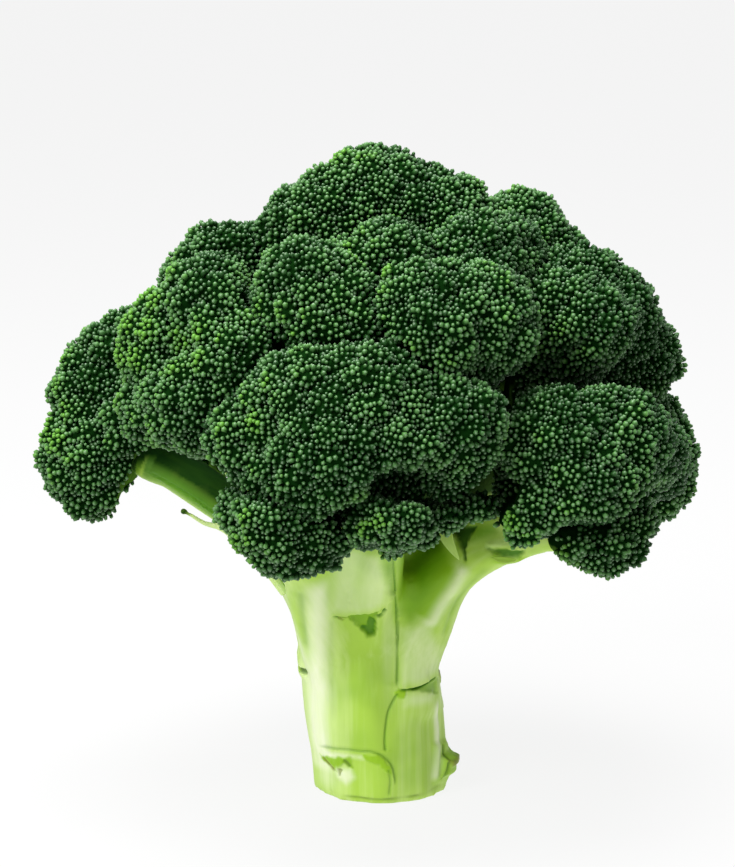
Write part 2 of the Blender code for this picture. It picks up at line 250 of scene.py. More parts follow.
class Finish:
    """A material with its Principled shader, and the one way to add a node to it."""

    def __init__(self, name, **uniform):
        self.material = bpy.data.materials.new(name)
        self.material.use_nodes = True
        self.tree = self.material.node_tree
        self.shader = self.tree.nodes["Principled BSDF"]
        for socket, value in uniform.items():
            self.shader.inputs[socket.replace("_", " ")].default_value = value

    def feed(self, socket, value):
        if isinstance(value, Wire):
            self.tree.links.new(value.socket, socket)
        elif socket.type == "RGBA":
            socket.default_value = (*value, 1.0)
        else:
            socket.default_value = value

    def node(self, kind, settings=None, sockets=None, output=0):
        """A new node: its settings first, then the values or wires of its sockets."""
        made = self.tree.nodes.new(kind)
        for name, value in (settings or {}).items():
            setattr(made, name, value)
        for name, value in (sockets or {}).items():
            self.feed(made.inputs[name], value)
        return Wire(self, made.outputs[output])

    def attribute(self, name, output="Fac"):
        return self.node("ShaderNodeAttribute", {"attribute_name": name}, output=output)

    def mix(self, factor, first, second):
        """A colour between two, where factor 0 is the first."""
        sockets = {0: factor, 6: first, 7: second}
        return self.node("ShaderNodeMix", {"data_type": "RGBA"}, sockets, output=2)

    def noise(self, place, scale, detail=3.0, roughness=0.55):
        sockets = {"Vector": place, "Scale": scale, "Detail": detail, "Roughness": roughness}
        return self.node("ShaderNodeTexNoise", None, sockets)

    def paint(self, **sockets):
        """Feeds the shader's own sockets."""
        for name, value in sockets.items():
            self.feed(self.shader.inputs[name.replace("_", " ")], value)

    def bump(self, height, distance, strength=1.0):
        sockets = {"Height": height, "Distance": distance, "Strength": strength}
        self.paint(Normal=self.node("ShaderNodeBump", None, sockets))


def bud_finish(buds):
    """Waxy green with painted shade low on each bud and a painted highlight on its tip: the chart's
    first axis is a bud's own tone with its painted light and shade, its second the height on the bud.
    """
    finish = Finish("bud_green", Specular_IOR_Level=0.22)
    chart = finish.node("ShaderNodeUVMap", {"uv_map": "OFBake"})
    tone_and_shading = finish.node("ShaderNodeSeparateXYZ", None, {0: chart})
    height = Wire(finish, tone_and_shading.socket.node.outputs[1])
    lit = tone_and_shading.between(0.0, 0.08)
    green = finish.mix(tone_and_shading.between(0.05, 0.5), buds.deep, buds.leaf)
    green = finish.mix(tone_and_shading.between(0.5, 0.95), green, buds.ripe)
    # Painted shade: the lower part of a bud, and the whole bud where its tone is 0, takes the dark base
    # colour.
    shaded = finish.mix(height.between(0.36, 0.8) * lit, buds.base, green)
    # The pale tip is waxy bloom with a painted highlight, weaker on ripe buds and left out where painted
    # shade has brought the tone to 0.
    tip = height.between(0.75, 1.02) * (1.0 - 0.5 * tone_and_shading.between(0.55, 0.9)) * 0.8 * lit
    finish.paint(Base_Color=finish.mix(tip, shaded, buds.bloom_and_highlight), Roughness=0.5 - 0.14 * height)
    return finish.material


def flesh_finish(flesh):
    """Dark green below the buds, standing in for the shade between them and darker in the valleys
    between clusters as painted shade; pale green on the branchlets of the underside.
    """
    finish = Finish("floret_flesh", Specular_IOR_Level=0.0)
    place = finish.node("ShaderNodeTexCoord", output="Object")
    grain = finish.noise(place, 420.0)
    shade = finish.attribute("shade")
    valley = finish.attribute("valley")
    stem = finish.mix(grain.between(0.35, 0.7), flesh.under, [0.62 * v for v in flesh.under])
    # Painted shade: darker in the valleys between clusters.
    stem = finish.mix(valley * 0.75, stem, flesh.shade)
    canopy = finish.mix(valley * 0.8, flesh.shade, [0.35 * v for v in flesh.shade])
    colour = finish.mix((shade + 0.3 * (grain - 0.5)).between(0.2, 0.55), stem, canopy)
    finish.paint(Base_Color=colour, Roughness=0.95 - 0.15 * grain)
    finish.bump(grain, 0.0004)
    return finish.material


def stalk_finish(stalk):
    """Smooth waxy skin with streaks that run up the strands, painted by the sculpted layers, which also hold
    painted shade and light.
    """
    finish = Finish("stalk_green", Specular_IOR_Level=0.3, Subsurface_Weight=0.15, Subsurface_Scale=0.004)
    finish.shader.inputs["Subsurface Radius"].default_value = (0.9, 1.0, 0.35)
    flow = finish.attribute("flow", "Vector")
    place = finish.node("ShaderNodeTexCoord", output="Object")
    broad = finish.noise(flow, 130.0, detail=2.0)
    fine = finish.noise(flow, 620.0, detail=3.0)
    blotch = finish.noise(place, 60.0, detail=2.0)
    streaks = (0.6 * broad + 0.4 * fine).between(0.40, 0.66)
    colour = finish.mix(streaks * 0.75, stalk.flesh, stalk.light)
    colour = finish.mix(blotch.between(0.45, 0.75) * 0.25, colour, stalk.green)
    for layer, shade in zip(LAYERS, (stalk.cream, stalk.lime, stalk.green, stalk.dusk, stalk.scar)):
        amount = finish.attribute(layer) * (0.75 + 0.5 * fine)
        colour = finish.mix((amount * 0.95).clamped(), colour, shade)
    roughness = 0.36 + 0.2 * blotch + 0.6 * finish.attribute("dusk")
    finish.paint(Base_Color=colour, Roughness=roughness.clamped())
    finish.bump(0.7 * broad + 0.3 * fine, 0.0005, 0.5)
    return finish.material


# ---------------------------------------------------------------------------------------------
# Meshes


def points_of(mesh):
    points = np.empty(len(mesh.vertices) * 3, np.float32)
    mesh.vertices.foreach_get("co", points)
    return points.reshape(-1, 3).astype(float)


def outward_of(mesh):
    """The way that the skin faces at each point."""
    normals = np.empty(len(mesh.vertices) * 3, np.float32)
    mesh.vertex_normals.foreach_get("vector", normals)
    return normals.reshape(-1, 3).astype(float)


def move_points(mesh, points):
    mesh.vertices.foreach_set("co", points.astype(np.float32).ravel())
    mesh.update()


def store(mesh, name, values):
    """Keeps a number or a vector for each point of the mesh."""
    kind, field = ("FLOAT", "value") if values.ndim == 1 else ("FLOAT_VECTOR", "vector")
    layer = mesh.attributes.get(name) or mesh.attributes.new(name, kind, "POINT")
    layer.data.foreach_set(field, values.astype(np.float32).ravel())


def smooth_step(values, low, high):
    share = np.clip((values - low) / (high - low), 0.0, 1.0)
    return share * share * (3 - 2 * share)


def merged_copy(node):
    """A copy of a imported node's mesh with its loose triangles joined."""
    shape = bmesh.new()
    shape.from_mesh(frame["nodes"][node].data)
    bmesh.ops.remove_doubles(shape, verts=shape.verts, dist=1e-6)
    mesh = bpy.data.meshes.new(node)
    shape.to_mesh(mesh)
    shape.free()
    return mesh


def worked(mesh, name, *steps):
    """The mesh after modifiers, each given as (type, settings), as a new mesh."""
    helper = bpy.data.objects.new(name, mesh)
    bpy.context.scene.collection.objects.link(helper)
    for kind, settings in steps:
        modifier = helper.modifiers.new(kind.title(), kind)
        for setting, value in settings.items():
            setattr(modifier, setting, value)
    graph = bpy.context.evaluated_depsgraph_get()
    made = bpy.data.meshes.new_from_object(helper.evaluated_get(graph))
    bpy.data.objects.remove(helper)
    made.name = name
    return made


def add_piece(name, mesh, material, slot, *nodes):
    """Shows the mesh as a piece of the head that stands for the named nodes."""
    mesh.materials.clear()
    mesh.materials.append(material)
    mesh.shade_smooth()
    piece = bpy.data.objects.new(name, mesh)
    mesh.name = name
    bpy.context.scene.collection.objects.link(piece)
    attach(piece, "root")
    if nodes:
        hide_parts(*nodes)
    return piece


def surface_tree(nodes):
    """Finds the nearest place on the skins of these nodes."""
    points, faces = [], []
    for node in nodes:
        mesh = frame["nodes"][node].data
        start = len(points)
        points += [tuple(vertex.co) for vertex in mesh.vertices]
        faces += [tuple(start + corner for corner in face.vertices) for face in mesh.polygons]
    return BVHTree.FromPolygons(points, faces)


def distances(tree, points, reach):
    """How far each point is from the tree's surface, up to the reach."""
    found = (tree.find_nearest(point, reach)[3] for point in map(Vector, points))
    return np.array([reach if distance is None else distance for distance in found])


def even_ways(count):
    """Directions spread evenly over a ball."""
    index = np.arange(count) + 0.5
    height = 1 - 2 * index / count
    turn = index * math.pi * (1 + math.sqrt(5))
    flat = np.sqrt(1 - height ** 2)
    return np.stack([flat * np.cos(turn), flat * np.sin(turn), height], 1)


def openness(tree, points, outward, reach, count=28):
    """The share of the ways out of each point that meet nothing of the tree within the reach."""
    ways = even_ways(count)
    rays = [Vector(way) for way in ways]
    weights = np.clip(outward @ ways.T, 0.0, None)
    free = np.zeros(len(points))
    for index, point in enumerate(map(Vector, points)):
        for ray in np.flatnonzero(weights[index] > 0.2):
            if tree.ray_cast(point, rays[ray], reach)[0] is None:
                free[index] += weights[index, ray]
    return free / np.where(weights > 0.2, weights, 0.0).sum(1)


# ---------------------------------------------------------------------------------------------
# Florets

# How far inside a floret's foot its clusters fan out from.
ROOT_DEPTH = 6 * MM
# How far off a neighbour still shapes the skin, and how far off it still shades it.
NEAR = 8 * MM
SHADING_REACH = 22 * MM
# How fine the patches of yellower and darker buds are, and how yellow the ripe places turn.
TONE_PATCHES = 55
RIPENESS = 0.26


def spread_seeds(points, spacing, random):
    """Some of the points, picked in a random order, with none closer than the spacing."""
    seeds = []
    for index in random.permutation(len(points)):
        place = points[index]
        if all(((place - seed) ** 2).sum() > spacing ** 2 for seed in seeds):
            seeds.append(place)
    return np.array(seeds)


def clusters(points, root, seeds):
    """How deep each point lies in its cluster, from 0 on a cluster's edge, how far it is from
    the nearest place where three clusters meet, and which cluster it is in."""
    reach = np.linalg.norm(points - root, axis=1)
    ways = (points - root) / reach[:, None]
    seed_ways = (seeds - root) / np.linalg.norm(seeds - root, axis=1)[:, None]
    gaps = np.linalg.norm(ways[:, None] - seed_ways[None], axis=2) * reach[:, None]
    order = np.sort(gaps, axis=1)
    return (order[:, 1] - order[:, 0]) / 2, (order[:, 2] - order[:, 0]) / 2, gaps.argmin(1)


def hollowness(mesh, points, outward, rounds=24):
    """How far each point lies below the skin as it would be if its folds were smoothed out."""
    ends = np.empty(len(mesh.edges) * 2, np.int32)
    mesh.edges.foreach_get("vertices", ends)
    first, second = ends.reshape(-1, 2).T
    count = np.bincount(ends, minlength=len(points))[:, None]
    eased = points
    for _ in range(rounds):
        total = np.stack(
            [np.bincount(first, eased[second, axis], len(points))
             + np.bincount(second, eased[first, axis], len(points)) for axis in range(3)], 1
        )
        eased = 0.5 * eased + 0.5 * total / count
    return ((eased - points) * outward).sum(1)


def fading(points, place, reach):
    """1 at a place, given in millimetres, and less with distance from it."""
    far = np.linalg.norm(points - np.array(place) * MM, axis=1)
    return np.exp(-(far / (reach * MM)) ** 2)


def skin_tone_and_shading(points, outward, facing, open_air, cushion, pit, own_tones):
    """How yellow and how bright the buds are at each point, from 0 in deep shade to nearly 1 where
    they are ripe. Besides the buds' own patches, rims and ripe places, it holds painted light on sides
    that face left and painted shade at cluster edges, in pits, in crevices and under overhangs.
    """
    patches = np.array([noise.noise(Vector(point) * TONE_PATCHES) for point in points])
    rim = (1 - smooth_step(facing, 0.25, 0.75)) * 0.22
    tone_and_shading = 0.42 + 0.42 * patches + rim + own_tones
    # Painted shade: darker towards the edges of clusters and in the pits where they meet.
    tone_and_shading -= 0.28 * (1 - cushion) + 0.4 * pit
    for *place, reach in RIPE_PLACES:
        tone_and_shading += RIPENESS * fading(points, place, 1.4 * reach)
    # Painted light: buds on sides that face left, towards the front light, are lighter and yellower.
    tone_and_shading += 0.28 * smooth_step(-outward[:, 0], 0.2, 0.8)
    # Painted shade: in crevices between florets and where the skin faces down under others, the tone falls
    # to 0, which leaves the buds the dark base colour all over.
    below = (1 - smooth_step(outward[:, 2], -0.95, -0.5)) * (1 - smooth_step(open_air, 0.3, 0.6))
    gloom = np.maximum(1 - smooth_step(open_air, 0.1, 0.36), below)
    return np.clip(tone_and_shading, 0.1, 0.96) * (1 - gloom)


def grow_skin(name, flesh, random):
    """A floret's skin: cushions of bud clusters outside, ridges of branchlets below."""
    mesh = worked(
        merged_copy(name), name + "_skin",
        ("REMESH", {"mode": "VOXEL", "voxel_size": flesh.voxel}),
        ("SMOOTH", {"factor": 0.5, "iterations": 8}),
    )
    points, outward = points_of(mesh), outward_of(mesh)
    fold = np.maximum(hollowness(mesh, points, outward) - 0.1 * MM, 0.0)
    nearest = points[np.linalg.norm(points - np.array(HEART), axis=1).argmin()]
    root = nearest + ROOT_DEPTH * np.array((HEART - Vector(nearest)).normalized())
    ways = points - root
    ways /= np.linalg.norm(ways, axis=1)[:, None]
    facing = (outward * ways).sum(1)
    others = surface_tree([other for other in FLORETS if other != name])
    near_floret = distances(others, points, NEAR)
    near_stalk = distances(surface_tree(["stalk"]), points, NEAR)
    open_air = openness(others, points + outward * 0.3 * MM, outward, SHADING_REACH)
    bare = smooth_step(facing, -0.25, 0.0) * smooth_step(near_stalk, 0.8 * MM, 1.8 * MM)
    canopy = bare * smooth_step(open_air, 0.05, 0.14)
    seeds = spread_seeds(points[facing > 0.2], flesh.cell, random)
    depth, corner, cluster = clusters(points, root, seeds)
    cushion = smooth_step(depth, 0.0, 0.5 * flesh.cell)
    lift = random.uniform(-0.3, 0.3, len(seeds))[cluster] * MM * cushion
    rise = flesh.cushion * (cushion - 0.75) * (0.55 + 0.45 * canopy) + lift - flesh.inset
    pit = (1 - smooth_step(corner, 0.05 * flesh.cell, 0.3 * flesh.cell)) * canopy
    rise -= flesh.pit * pit + np.minimum(flesh.crease * fold, 3 * MM)
    rise += (1 - smooth_step(near_stalk, 1.0 * MM, 4.0 * MM)) * 1.6 * MM
    packed = 1 - smooth_step(near_floret, 2.0 * MM, 4.5 * MM)
    rise += (0.4 * MM - rise) * packed
    moved = points + outward * rise[:, None]
    for place, reach, way in SWELLS.get(name, []):
        moved += fading(points, place, reach)[:, None] * np.array(way) * MM
    move_points(mesh, moved)
    outward = outward_of(mesh)
    own_tones = random.uniform(-0.12, 0.12, len(seeds))[cluster]
    # The skin takes the dark colour where buds grow, where it faces up, and, as painted shade, where other
    # florets close round it.
    dark = [bare, 1 - smooth_step(open_air, 0.25, 0.8), smooth_step(outward[:, 2], -0.35, 0.1)]
    store(mesh, "outward", 0.75 * outward + 0.25 * ways)
    store(mesh, "canopy", canopy)
    store(mesh, "shade", np.maximum.reduce(dark))
    store(mesh, "valley", 1 - cushion)
    store(mesh, "tone_and_shading", skin_tone_and_shading(points, outward, facing, open_air, cushion, pit, own_tones))
    return mesh


class BROCCOLI_OT_flesh(bpy.types.Operator):
    """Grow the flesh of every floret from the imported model"""

    bl_idname = "broccoli.flesh"
    bl_label = "Grow Floret Flesh"

    def execute(self, context):
        flesh = context.scene.broccoli_flesh
        finish = flesh_finish(flesh)
        random = np.random.default_rng(flesh.seed)
        for name in FLORETS:
            skin = grow_skin(name, flesh, random)
            ratio = flesh.faces / (2 * len(skin.polygons))
            thin = worked(skin, name + "_flesh", ("DECIMATE", {"ratio": min(1.0, ratio)}))
            move_points(thin, points_of(thin) - outward_of(thin) * flesh.sink)
            add_piece(name + "_flesh", thin, finish, "bud_green", name)
        return {"FINISHED"}


# ---------------------------------------------------------------------------------------------
# Buds, with Geometry Nodes

# The least distance between two buds at the start, as a share of their spacing.
NEAREST = 0.75
# More points on a square metre than the spacing leaves room for.
MOST_BUDS = 1.6e6
# How far a bud leans, in radians, and how much its tone differs from its skin's.
LEAN = 0.3
OWN_TONE = 0.1


class Growth:
    """A Geometry Nodes tree, and the one way to add a node to it."""

    def __init__(self, name):
        self.tree = bpy.data.node_groups.new(name, "GeometryNodeTree")
        self.inputs = self.tree.nodes.new("NodeGroupInput")
        self.output = self.tree.nodes.new("NodeGroupOutput")

    def socket(self, name, kind, direction="INPUT"):
        made = self.tree.interface.new_socket(name, in_out=direction, socket_type="NodeSocket" + kind)
        return made.identifier

    def value(self, name):
        return self.inputs.outputs[name]

    def node(self, kind, settings=None, sockets=None):
        """A new node: its settings first, then the values or wires of its sockets."""
        made = self.tree.nodes.new(kind)
        for name, value in (settings or {}).items():
            setattr(made, name, value)
        for name, value in (sockets or {}).items():
            self.feed(made.inputs[name], value)
        return made

    def feed(self, socket, value):
        if isinstance(value, bpy.types.Node):
            value = value.outputs[0]
        if isinstance(value, bpy.types.NodeSocket):
            self.tree.links.new(value, socket)
        else:
            socket.default_value = value

    def maths(self, operation, *values):
        return self.node("ShaderNodeMath", {"operation": operation}, dict(enumerate(values)))

    def vector(self, operation, *values, **named):
        made = self.node("ShaderNodeVectorMath", {"operation": operation}, dict(enumerate(values)))
        for name, value in named.items():
            self.feed(made.inputs[name], value)
        return made

    def named(self, name, kind="FLOAT"):
        return self.node("GeometryNodeInputNamedAttribute", {"data_type": kind}, {"Name": name})

    def random(self, low, high, seed):
        made = self.node("FunctionNodeRandomValue", {"data_type": "FLOAT"})
        self.feed(made.inputs[2], low)
        self.feed(made.inputs[3], high)
        self.feed(made.inputs["Seed"], seed)
        return made.outputs[1]


def even_out(growth, points, skin):
    """Rounds that push each point away from its nearest neighbour and back onto the skin."""
    start = growth.tree.nodes.new("GeometryNodeRepeatInput")
    end = growth.tree.nodes.new("GeometryNodeRepeatOutput")
    start.pair_with_output(end)
    growth.feed(start.inputs["Iterations"], growth.value("Rounds"))
    growth.feed(start.inputs["Geometry"], points)
    place = growth.node("GeometryNodeInputPosition")
    neighbour = growth.node("GeometryNodeIndexOfNearest")
    there = growth.node(
        "GeometryNodeFieldAtIndex", {"data_type": "FLOAT_VECTOR"},
        {"Index": neighbour.outputs["Index"], "Value": place},
    )
    apart = growth.vector("SUBTRACT", place, there)
    gap = growth.vector("LENGTH", apart).outputs["Value"]
    short = growth.maths("MAXIMUM", growth.maths("SUBTRACT", growth.value("Spacing"), gap), 0.0)
    push = growth.vector(
        "SCALE", growth.vector("NORMALIZE", apart), Scale=growth.maths("MULTIPLY", short, 0.4)
    )
    moved = growth.vector("ADD", place, push)
    back = growth.node(
        "GeometryNodeProximity", {"target_element": "FACES"}, {"Geometry": skin, "Sample Position": moved}
    )
    shifted = growth.node(
        "GeometryNodeSetPosition", None, {"Geometry": start.outputs["Geometry"], "Position": back}
    )
    growth.feed(end.inputs["Geometry"], shifted)
    return end.outputs["Geometry"]


def bud_growth():
    """The tree that covers a skin's canopy with buds, and its inputs by name."""
    growth = Growth("Bud Canopy")
    kinds = {
        "Skin": "Geometry", "Spacing": "Float", "Radius": "Float", "Length": "Float", "Lift": "Float",
        "Unevenness": "Float", "Spread": "Float", "Rounds": "Int", "Seed": "Int", "Finish": "Material",
    }
    inputs = {name: growth.socket(name, kind) for name, kind in kinds.items()}
    growth.socket("Buds", "Geometry", "OUTPUT")
    skin, seed = growth.value("Skin"), growth.value("Seed")
    scattered = growth.node(
        "GeometryNodeDistributePointsOnFaces", {"distribute_method": "POISSON"},
        {
            "Mesh": skin, "Distance Min": growth.maths("MULTIPLY", growth.value("Spacing"), NEAREST),
            "Density Max": MOST_BUDS, "Density Factor": growth.named("canopy"), "Seed": seed,
        },
    )
    points = even_out(growth, scattered, skin)

    def on_skin(name, kind):
        made = growth.node("GeometryNodeSampleNearestSurface", {"data_type": kind}, {"Mesh": skin})
        growth.feed(made.inputs["Value"], growth.named(name, kind))
        return made

    outward = growth.vector("NORMALIZE", on_skin("outward", "FLOAT_VECTOR"))
    uneven = growth.value("Unevenness")
    lift = growth.maths(
        "ADD", growth.value("Lift"), growth.random(growth.maths("MULTIPLY", uneven, -1.0), uneven, 11)
    )
    offset = growth.vector("SCALE", outward, Scale=lift)
    raised = growth.node("GeometryNodeSetPosition", None, {"Geometry": points, "Offset": offset})
    bead = growth.node("GeometryNodeMeshUVSphere", None, {"Segments": 5, "Rings": 3, "Radius": 1.0})
    on_bead = growth.node("ShaderNodeSeparateXYZ", None, {0: bead.outputs["UV Map"]})
    aligned = growth.node("FunctionNodeAlignRotationToVector", {"axis": "Z"}, {"Vector": outward})
    lean = growth.node("FunctionNodeEulerToRotation")
    turn = growth.node(
        "ShaderNodeCombineXYZ", None,
        {
            0: growth.random(-LEAN, LEAN, 12), 1: growth.random(-LEAN, LEAN, 13),
            2: growth.random(0.0, 6.28, 14),
        },
    )
    growth.feed(lean.inputs[0], turn)
    rotation = growth.node(
        "FunctionNodeRotateRotation", {"rotation_space": "LOCAL"}, {"Rotation": aligned, "Rotate By": lean}
    )
    spread = growth.value("Spread")
    size = growth.random(growth.maths("SUBTRACT", 1.0, spread), growth.maths("ADD", 1.0, spread), 15)
    shape = growth.node(
        "ShaderNodeCombineXYZ", None,
        {0: growth.value("Radius"), 1: growth.value("Radius"), 2: growth.value("Length")},
    )
    beads = growth.node(
        "GeometryNodeInstanceOnPoints", None,
        {
            "Points": raised, "Instance": bead, "Rotation": rotation,
            "Scale": growth.vector("SCALE", shape, Scale=size),
        },
    )
    own_tone = growth.maths("ADD", on_skin("tone_and_shading", "FLOAT"), growth.random(-OWN_TONE, OWN_TONE, 16))
    toned = growth.node(
        "GeometryNodeStoreNamedAttribute", {"data_type": "FLOAT", "domain": "INSTANCE"},
        {"Geometry": beads, "Name": "tone_and_shading", "Value": own_tone},
    )
    real = growth.node("GeometryNodeRealizeInstances", None, {"Geometry": toned})
    # The chart's first axis is the bud's tone with its painted light and shade, with a trace of the
    # way round so that no face is flat on it. Its second is the height on the bud.
    trace = growth.maths("MULTIPLY", on_bead.outputs["X"], 0.01)
    tone_axis = growth.maths("ADD", growth.named("tone_and_shading"), trace)
    height_axis = growth.maths("SUBTRACT", 1.0, on_bead.outputs["Y"])
    chart = growth.node("ShaderNodeCombineXYZ", None, {0: tone_axis, 1: height_axis})
    charted = growth.node(
        "GeometryNodeStoreNamedAttribute", {"data_type": "FLOAT2", "domain": "CORNER"},
        {"Geometry": real, "Name": "OFBake", "Value": chart},
    )
    finished = growth.node(
        "GeometryNodeSetMaterial", None, {"Geometry": charted, "Material": growth.value("Finish")}
    )
    growth.feed(growth.output.inputs[0], finished)
    return growth.tree, inputs


class BROCCOLI_OT_buds(bpy.types.Operator):
    """Cover the canopy of every floret with closed buds"""

    bl_idname = "broccoli.buds"
    bl_label = "Grow Buds"

    def execute(self, context):
        buds = context.scene.broccoli_buds
        finish = bud_finish(buds)
        tree, inputs = bud_growth()
        for number, name in enumerate(FLORETS):
            skin = bpy.data.meshes[name + "_skin"]
            helper = bpy.data.objects.new(name + "_buds", skin)
            context.scene.collection.objects.link(helper)
            modifier = helper.modifiers.new("Buds", "NODES")
            modifier.node_group = tree
            for socket in ("spacing", "radius", "length", "lift", "unevenness", "spread", "rounds"):
                modifier[inputs[socket.title()]] = getattr(buds, socket)
            modifier[inputs["Seed"]] = buds.seed + number
            modifier[inputs["Finish"]] = finish
            graph = context.evaluated_depsgraph_get()
            mesh = bpy.data.meshes.new_from_object(helper.evaluated_get(graph))
            bpy.data.objects.remove(helper)
            bpy.data.meshes.remove(skin)
            if not mesh.polygons:
                raise RuntimeError(f"no buds grew on {name}")
            add_piece(name + "_buds", mesh, finish, "bud_green")
        return {"FINISHED"}


# ---------------------------------------------------------------------------------------------
# Stalk


def curve_through(points, steps=8):
    """Places along a smooth curve through the given ones."""
    points = np.array(points, float)
    ends = np.vstack([2 * points[0] - points[1], points, 2 * points[-1] - points[-2]])
    share = (np.arange(steps) / steps)[:, None]
    runs = []
    for before, start, end, after in zip(ends, ends[1:], ends[2:], ends[3:]):
        runs.append(
            0.5 * (2 * start + (end - before) * share
                   + (2 * before - 5 * start + 4 * end - after) * share ** 2
                   + (3 * start - before - 3 * end + after) * share ** 3)
        )
    return np.vstack([*runs, points[-1:]])


def rightward(side):
    """The level way to the right as seen from a side, given in degrees round from the front."""
    turn = math.radians(side)
    return np.array((math.cos(turn), math.sin(turn), 0.0))


class Sculpt:
    """The stalk's skin while it is shaped. Marks are drawn as they are seen from a side: each
    point is how far right and how far up it is, in millimetres, and the mark lies on the skin
    that is first met from there."""

    def __init__(self, mesh):
        self.points = points_of(mesh)
        self.outward = outward_of(mesh)
        self.rise = np.zeros(len(self.points))
        self.paint = {layer: np.zeros(len(self.points)) for layer in LAYERS}
        self.lines = []
        faces = [tuple(face.vertices) for face in mesh.polygons]
        self.tree = BVHTree.FromPolygons(self.points.tolist(), faces)

    def on_skin(self, side, marks):
        """The places on the skin of a drawing's marks."""
        right = Vector(rightward(side))
        into = Vector((-right.y, right.x, 0.0))
        places = []
        for across, up in marks:
            start = right * across * MM + Vector((0, 0, up * MM)) - into * 0.2
            place = self.tree.ray_cast(start, into)[0]
            if place is not None:
                places.append(place)
        if len(places) < 2:
            raise RuntimeError(f"the marks {marks} miss the stalk")
        return np.array(places)

    def beside(self, line, reach):
        """The points near a line: which they are, how far off, on which side and how far along."""
        low, high = line.min(0) - reach, line.max(0) + reach
        chosen = np.flatnonzero(((self.points > low) & (self.points < high)).all(1))
        start, along = line[:-1], np.diff(line, axis=0)
        offset = self.points[chosen][:, None] - start[None]
        share = np.clip((offset * along).sum(2) / (along ** 2).sum(1), 0, 1)
        gap = offset - share[..., None] * along
        far = np.linalg.norm(gap, axis=2)
        nearest = far.argmin(1)
        row = np.arange(len(chosen))
        sideways = np.cross(along[nearest], self.outward[chosen])
        side = np.sign((sideways * gap[row, nearest]).sum(1))
        progress = (nearest + share[row, nearest]) / len(along)
        return chosen, far[row, nearest], side, progress

    def cover(self, chosen, amount, layers):
        for layer, strength in layers.items():
            self.paint[layer][chosen] += strength * amount

    def stroke(self, side, marks, width, height, fade=0.12, shoulder=0.0, **layers):
        """A raised strand, or a groove if the height is negative. A shoulder is a wide shallow
        hollow to both sides of it."""
        line = curve_through(self.on_skin(side, marks))
        if width < 0.8:
            self.lines.append(line)
        chosen, far, _, progress = self.beside(line, max(3 * width, 8 if shoulder else 0) * MM)
        taper = smooth_step(np.minimum(progress, 1 - progress), 0.0, fade)
        self.rise[chosen] += height * MM * np.exp(-(far / (width * MM)) ** 2) * taper
        self.rise[chosen] -= shoulder * MM * np.exp(-(far / (3.0 * MM)) ** 2) * taper
        self.cover(chosen, np.exp(-(far / (1.2 * width * MM)) ** 2) * taper, layers)

    def lip(self, side, marks, height, reach, shadow=0.9, **layers):
        """The edge of a sleeve that stands proud of the skin. The sleeve is above the edge where
        the marks run from right to left, and below it where they run from left to right."""
        line = curve_through(self.on_skin(side, marks))
        self.lines.append(line)
        chosen, far, which, progress = self.beside(line, 3 * reach * MM)
        taper = smooth_step(np.minimum(progress, 1 - progress), 0.0, 0.1)
        inside = which > 0
        sleeve = np.where(inside, np.exp(-(far / (reach * MM)) ** 2), 1 - smooth_step(far, 0.0, 0.4 * MM))
        under = np.where(inside, 0.0, np.exp(-((far - 0.45 * MM) / (0.4 * MM)) ** 2))
        self.rise[chosen] += height * MM * (sleeve - 0.35 * under) * taper
        # Painted shadow along the foot of the edge, outside the sleeve.
        self.cover(chosen, under * taper, {"deep": shadow, "dusk": 0.3 * shadow})
        self.cover(chosen, np.where(inside, np.exp(-(far / (0.5 * reach * MM)) ** 2), 0.0) * taper, layers)

    def patch(self, side, outline, depth=0.0, soft=0.4, **layers):
        """A dent, or a bump if the depth is negative, and colour inside an outline."""
        corners = self.on_skin(side, outline)
        ragged = soft < 0.8
        if ragged:
            self.lines.append(np.vstack([corners, corners[:1]]))
        middle = corners.mean(0)
        axes = np.array((rightward(side), (0.0, 0.0, 1.0)))
        reach = np.linalg.norm(corners - middle, axis=1).max() + (soft + 3) * MM
        chosen = np.flatnonzero(np.linalg.norm(self.points - middle, axis=1) < reach)
        flat, ring = (self.points[chosen] - middle) @ axes.T, (corners - middle) @ axes.T
        following = np.roll(ring, -1, axis=0)
        along = following - ring
        offset = flat[:, None] - ring[None]
        share = np.clip((offset * along).sum(2) / (along ** 2).sum(1), 0, 1)
        far = np.linalg.norm(offset - share[..., None] * along, axis=2).min(1)
        level = flat[:, 1:2]
        crosses = (ring[None, :, 1] > level) != (following[None, :, 1] > level)
        rise = np.where(along[:, 1] == 0, 1e-12, along[:, 1])
        meets = flat[:, :1] < ring[None, :, 0] + (level - ring[None, :, 1]) * along[:, 0] / rise
        within = (crosses & meets).sum(1) % 2 == 1
        depth_in = np.where(within, far, -far)
        if ragged:
            places = map(Vector, self.points[chosen])
            depth_in += 0.45 * MM * np.array([noise.noise(place * 700) for place in places])
        inside = smooth_step(depth_in, -soft * MM, soft * MM)
        self.rise[chosen] -= depth * MM * inside
        self.cover(chosen, inside, layers)

    def tint(self, side, place, size, **layers):
        """Soft colour round a place, with its half width and half height."""
        middle = self.on_skin(side, [place, place])[0]
        right = rightward(side)
        offset = self.points - middle
        across = (offset @ right) / (size[0] * MM)
        up = offset[:, 2] / (size[1] * MM)
        into = offset @ np.array((-right[1], right[0], 0.0))
        self.cover(slice(None), np.exp(-across ** 2 - up ** 2) * (into < 25 * MM), layers)


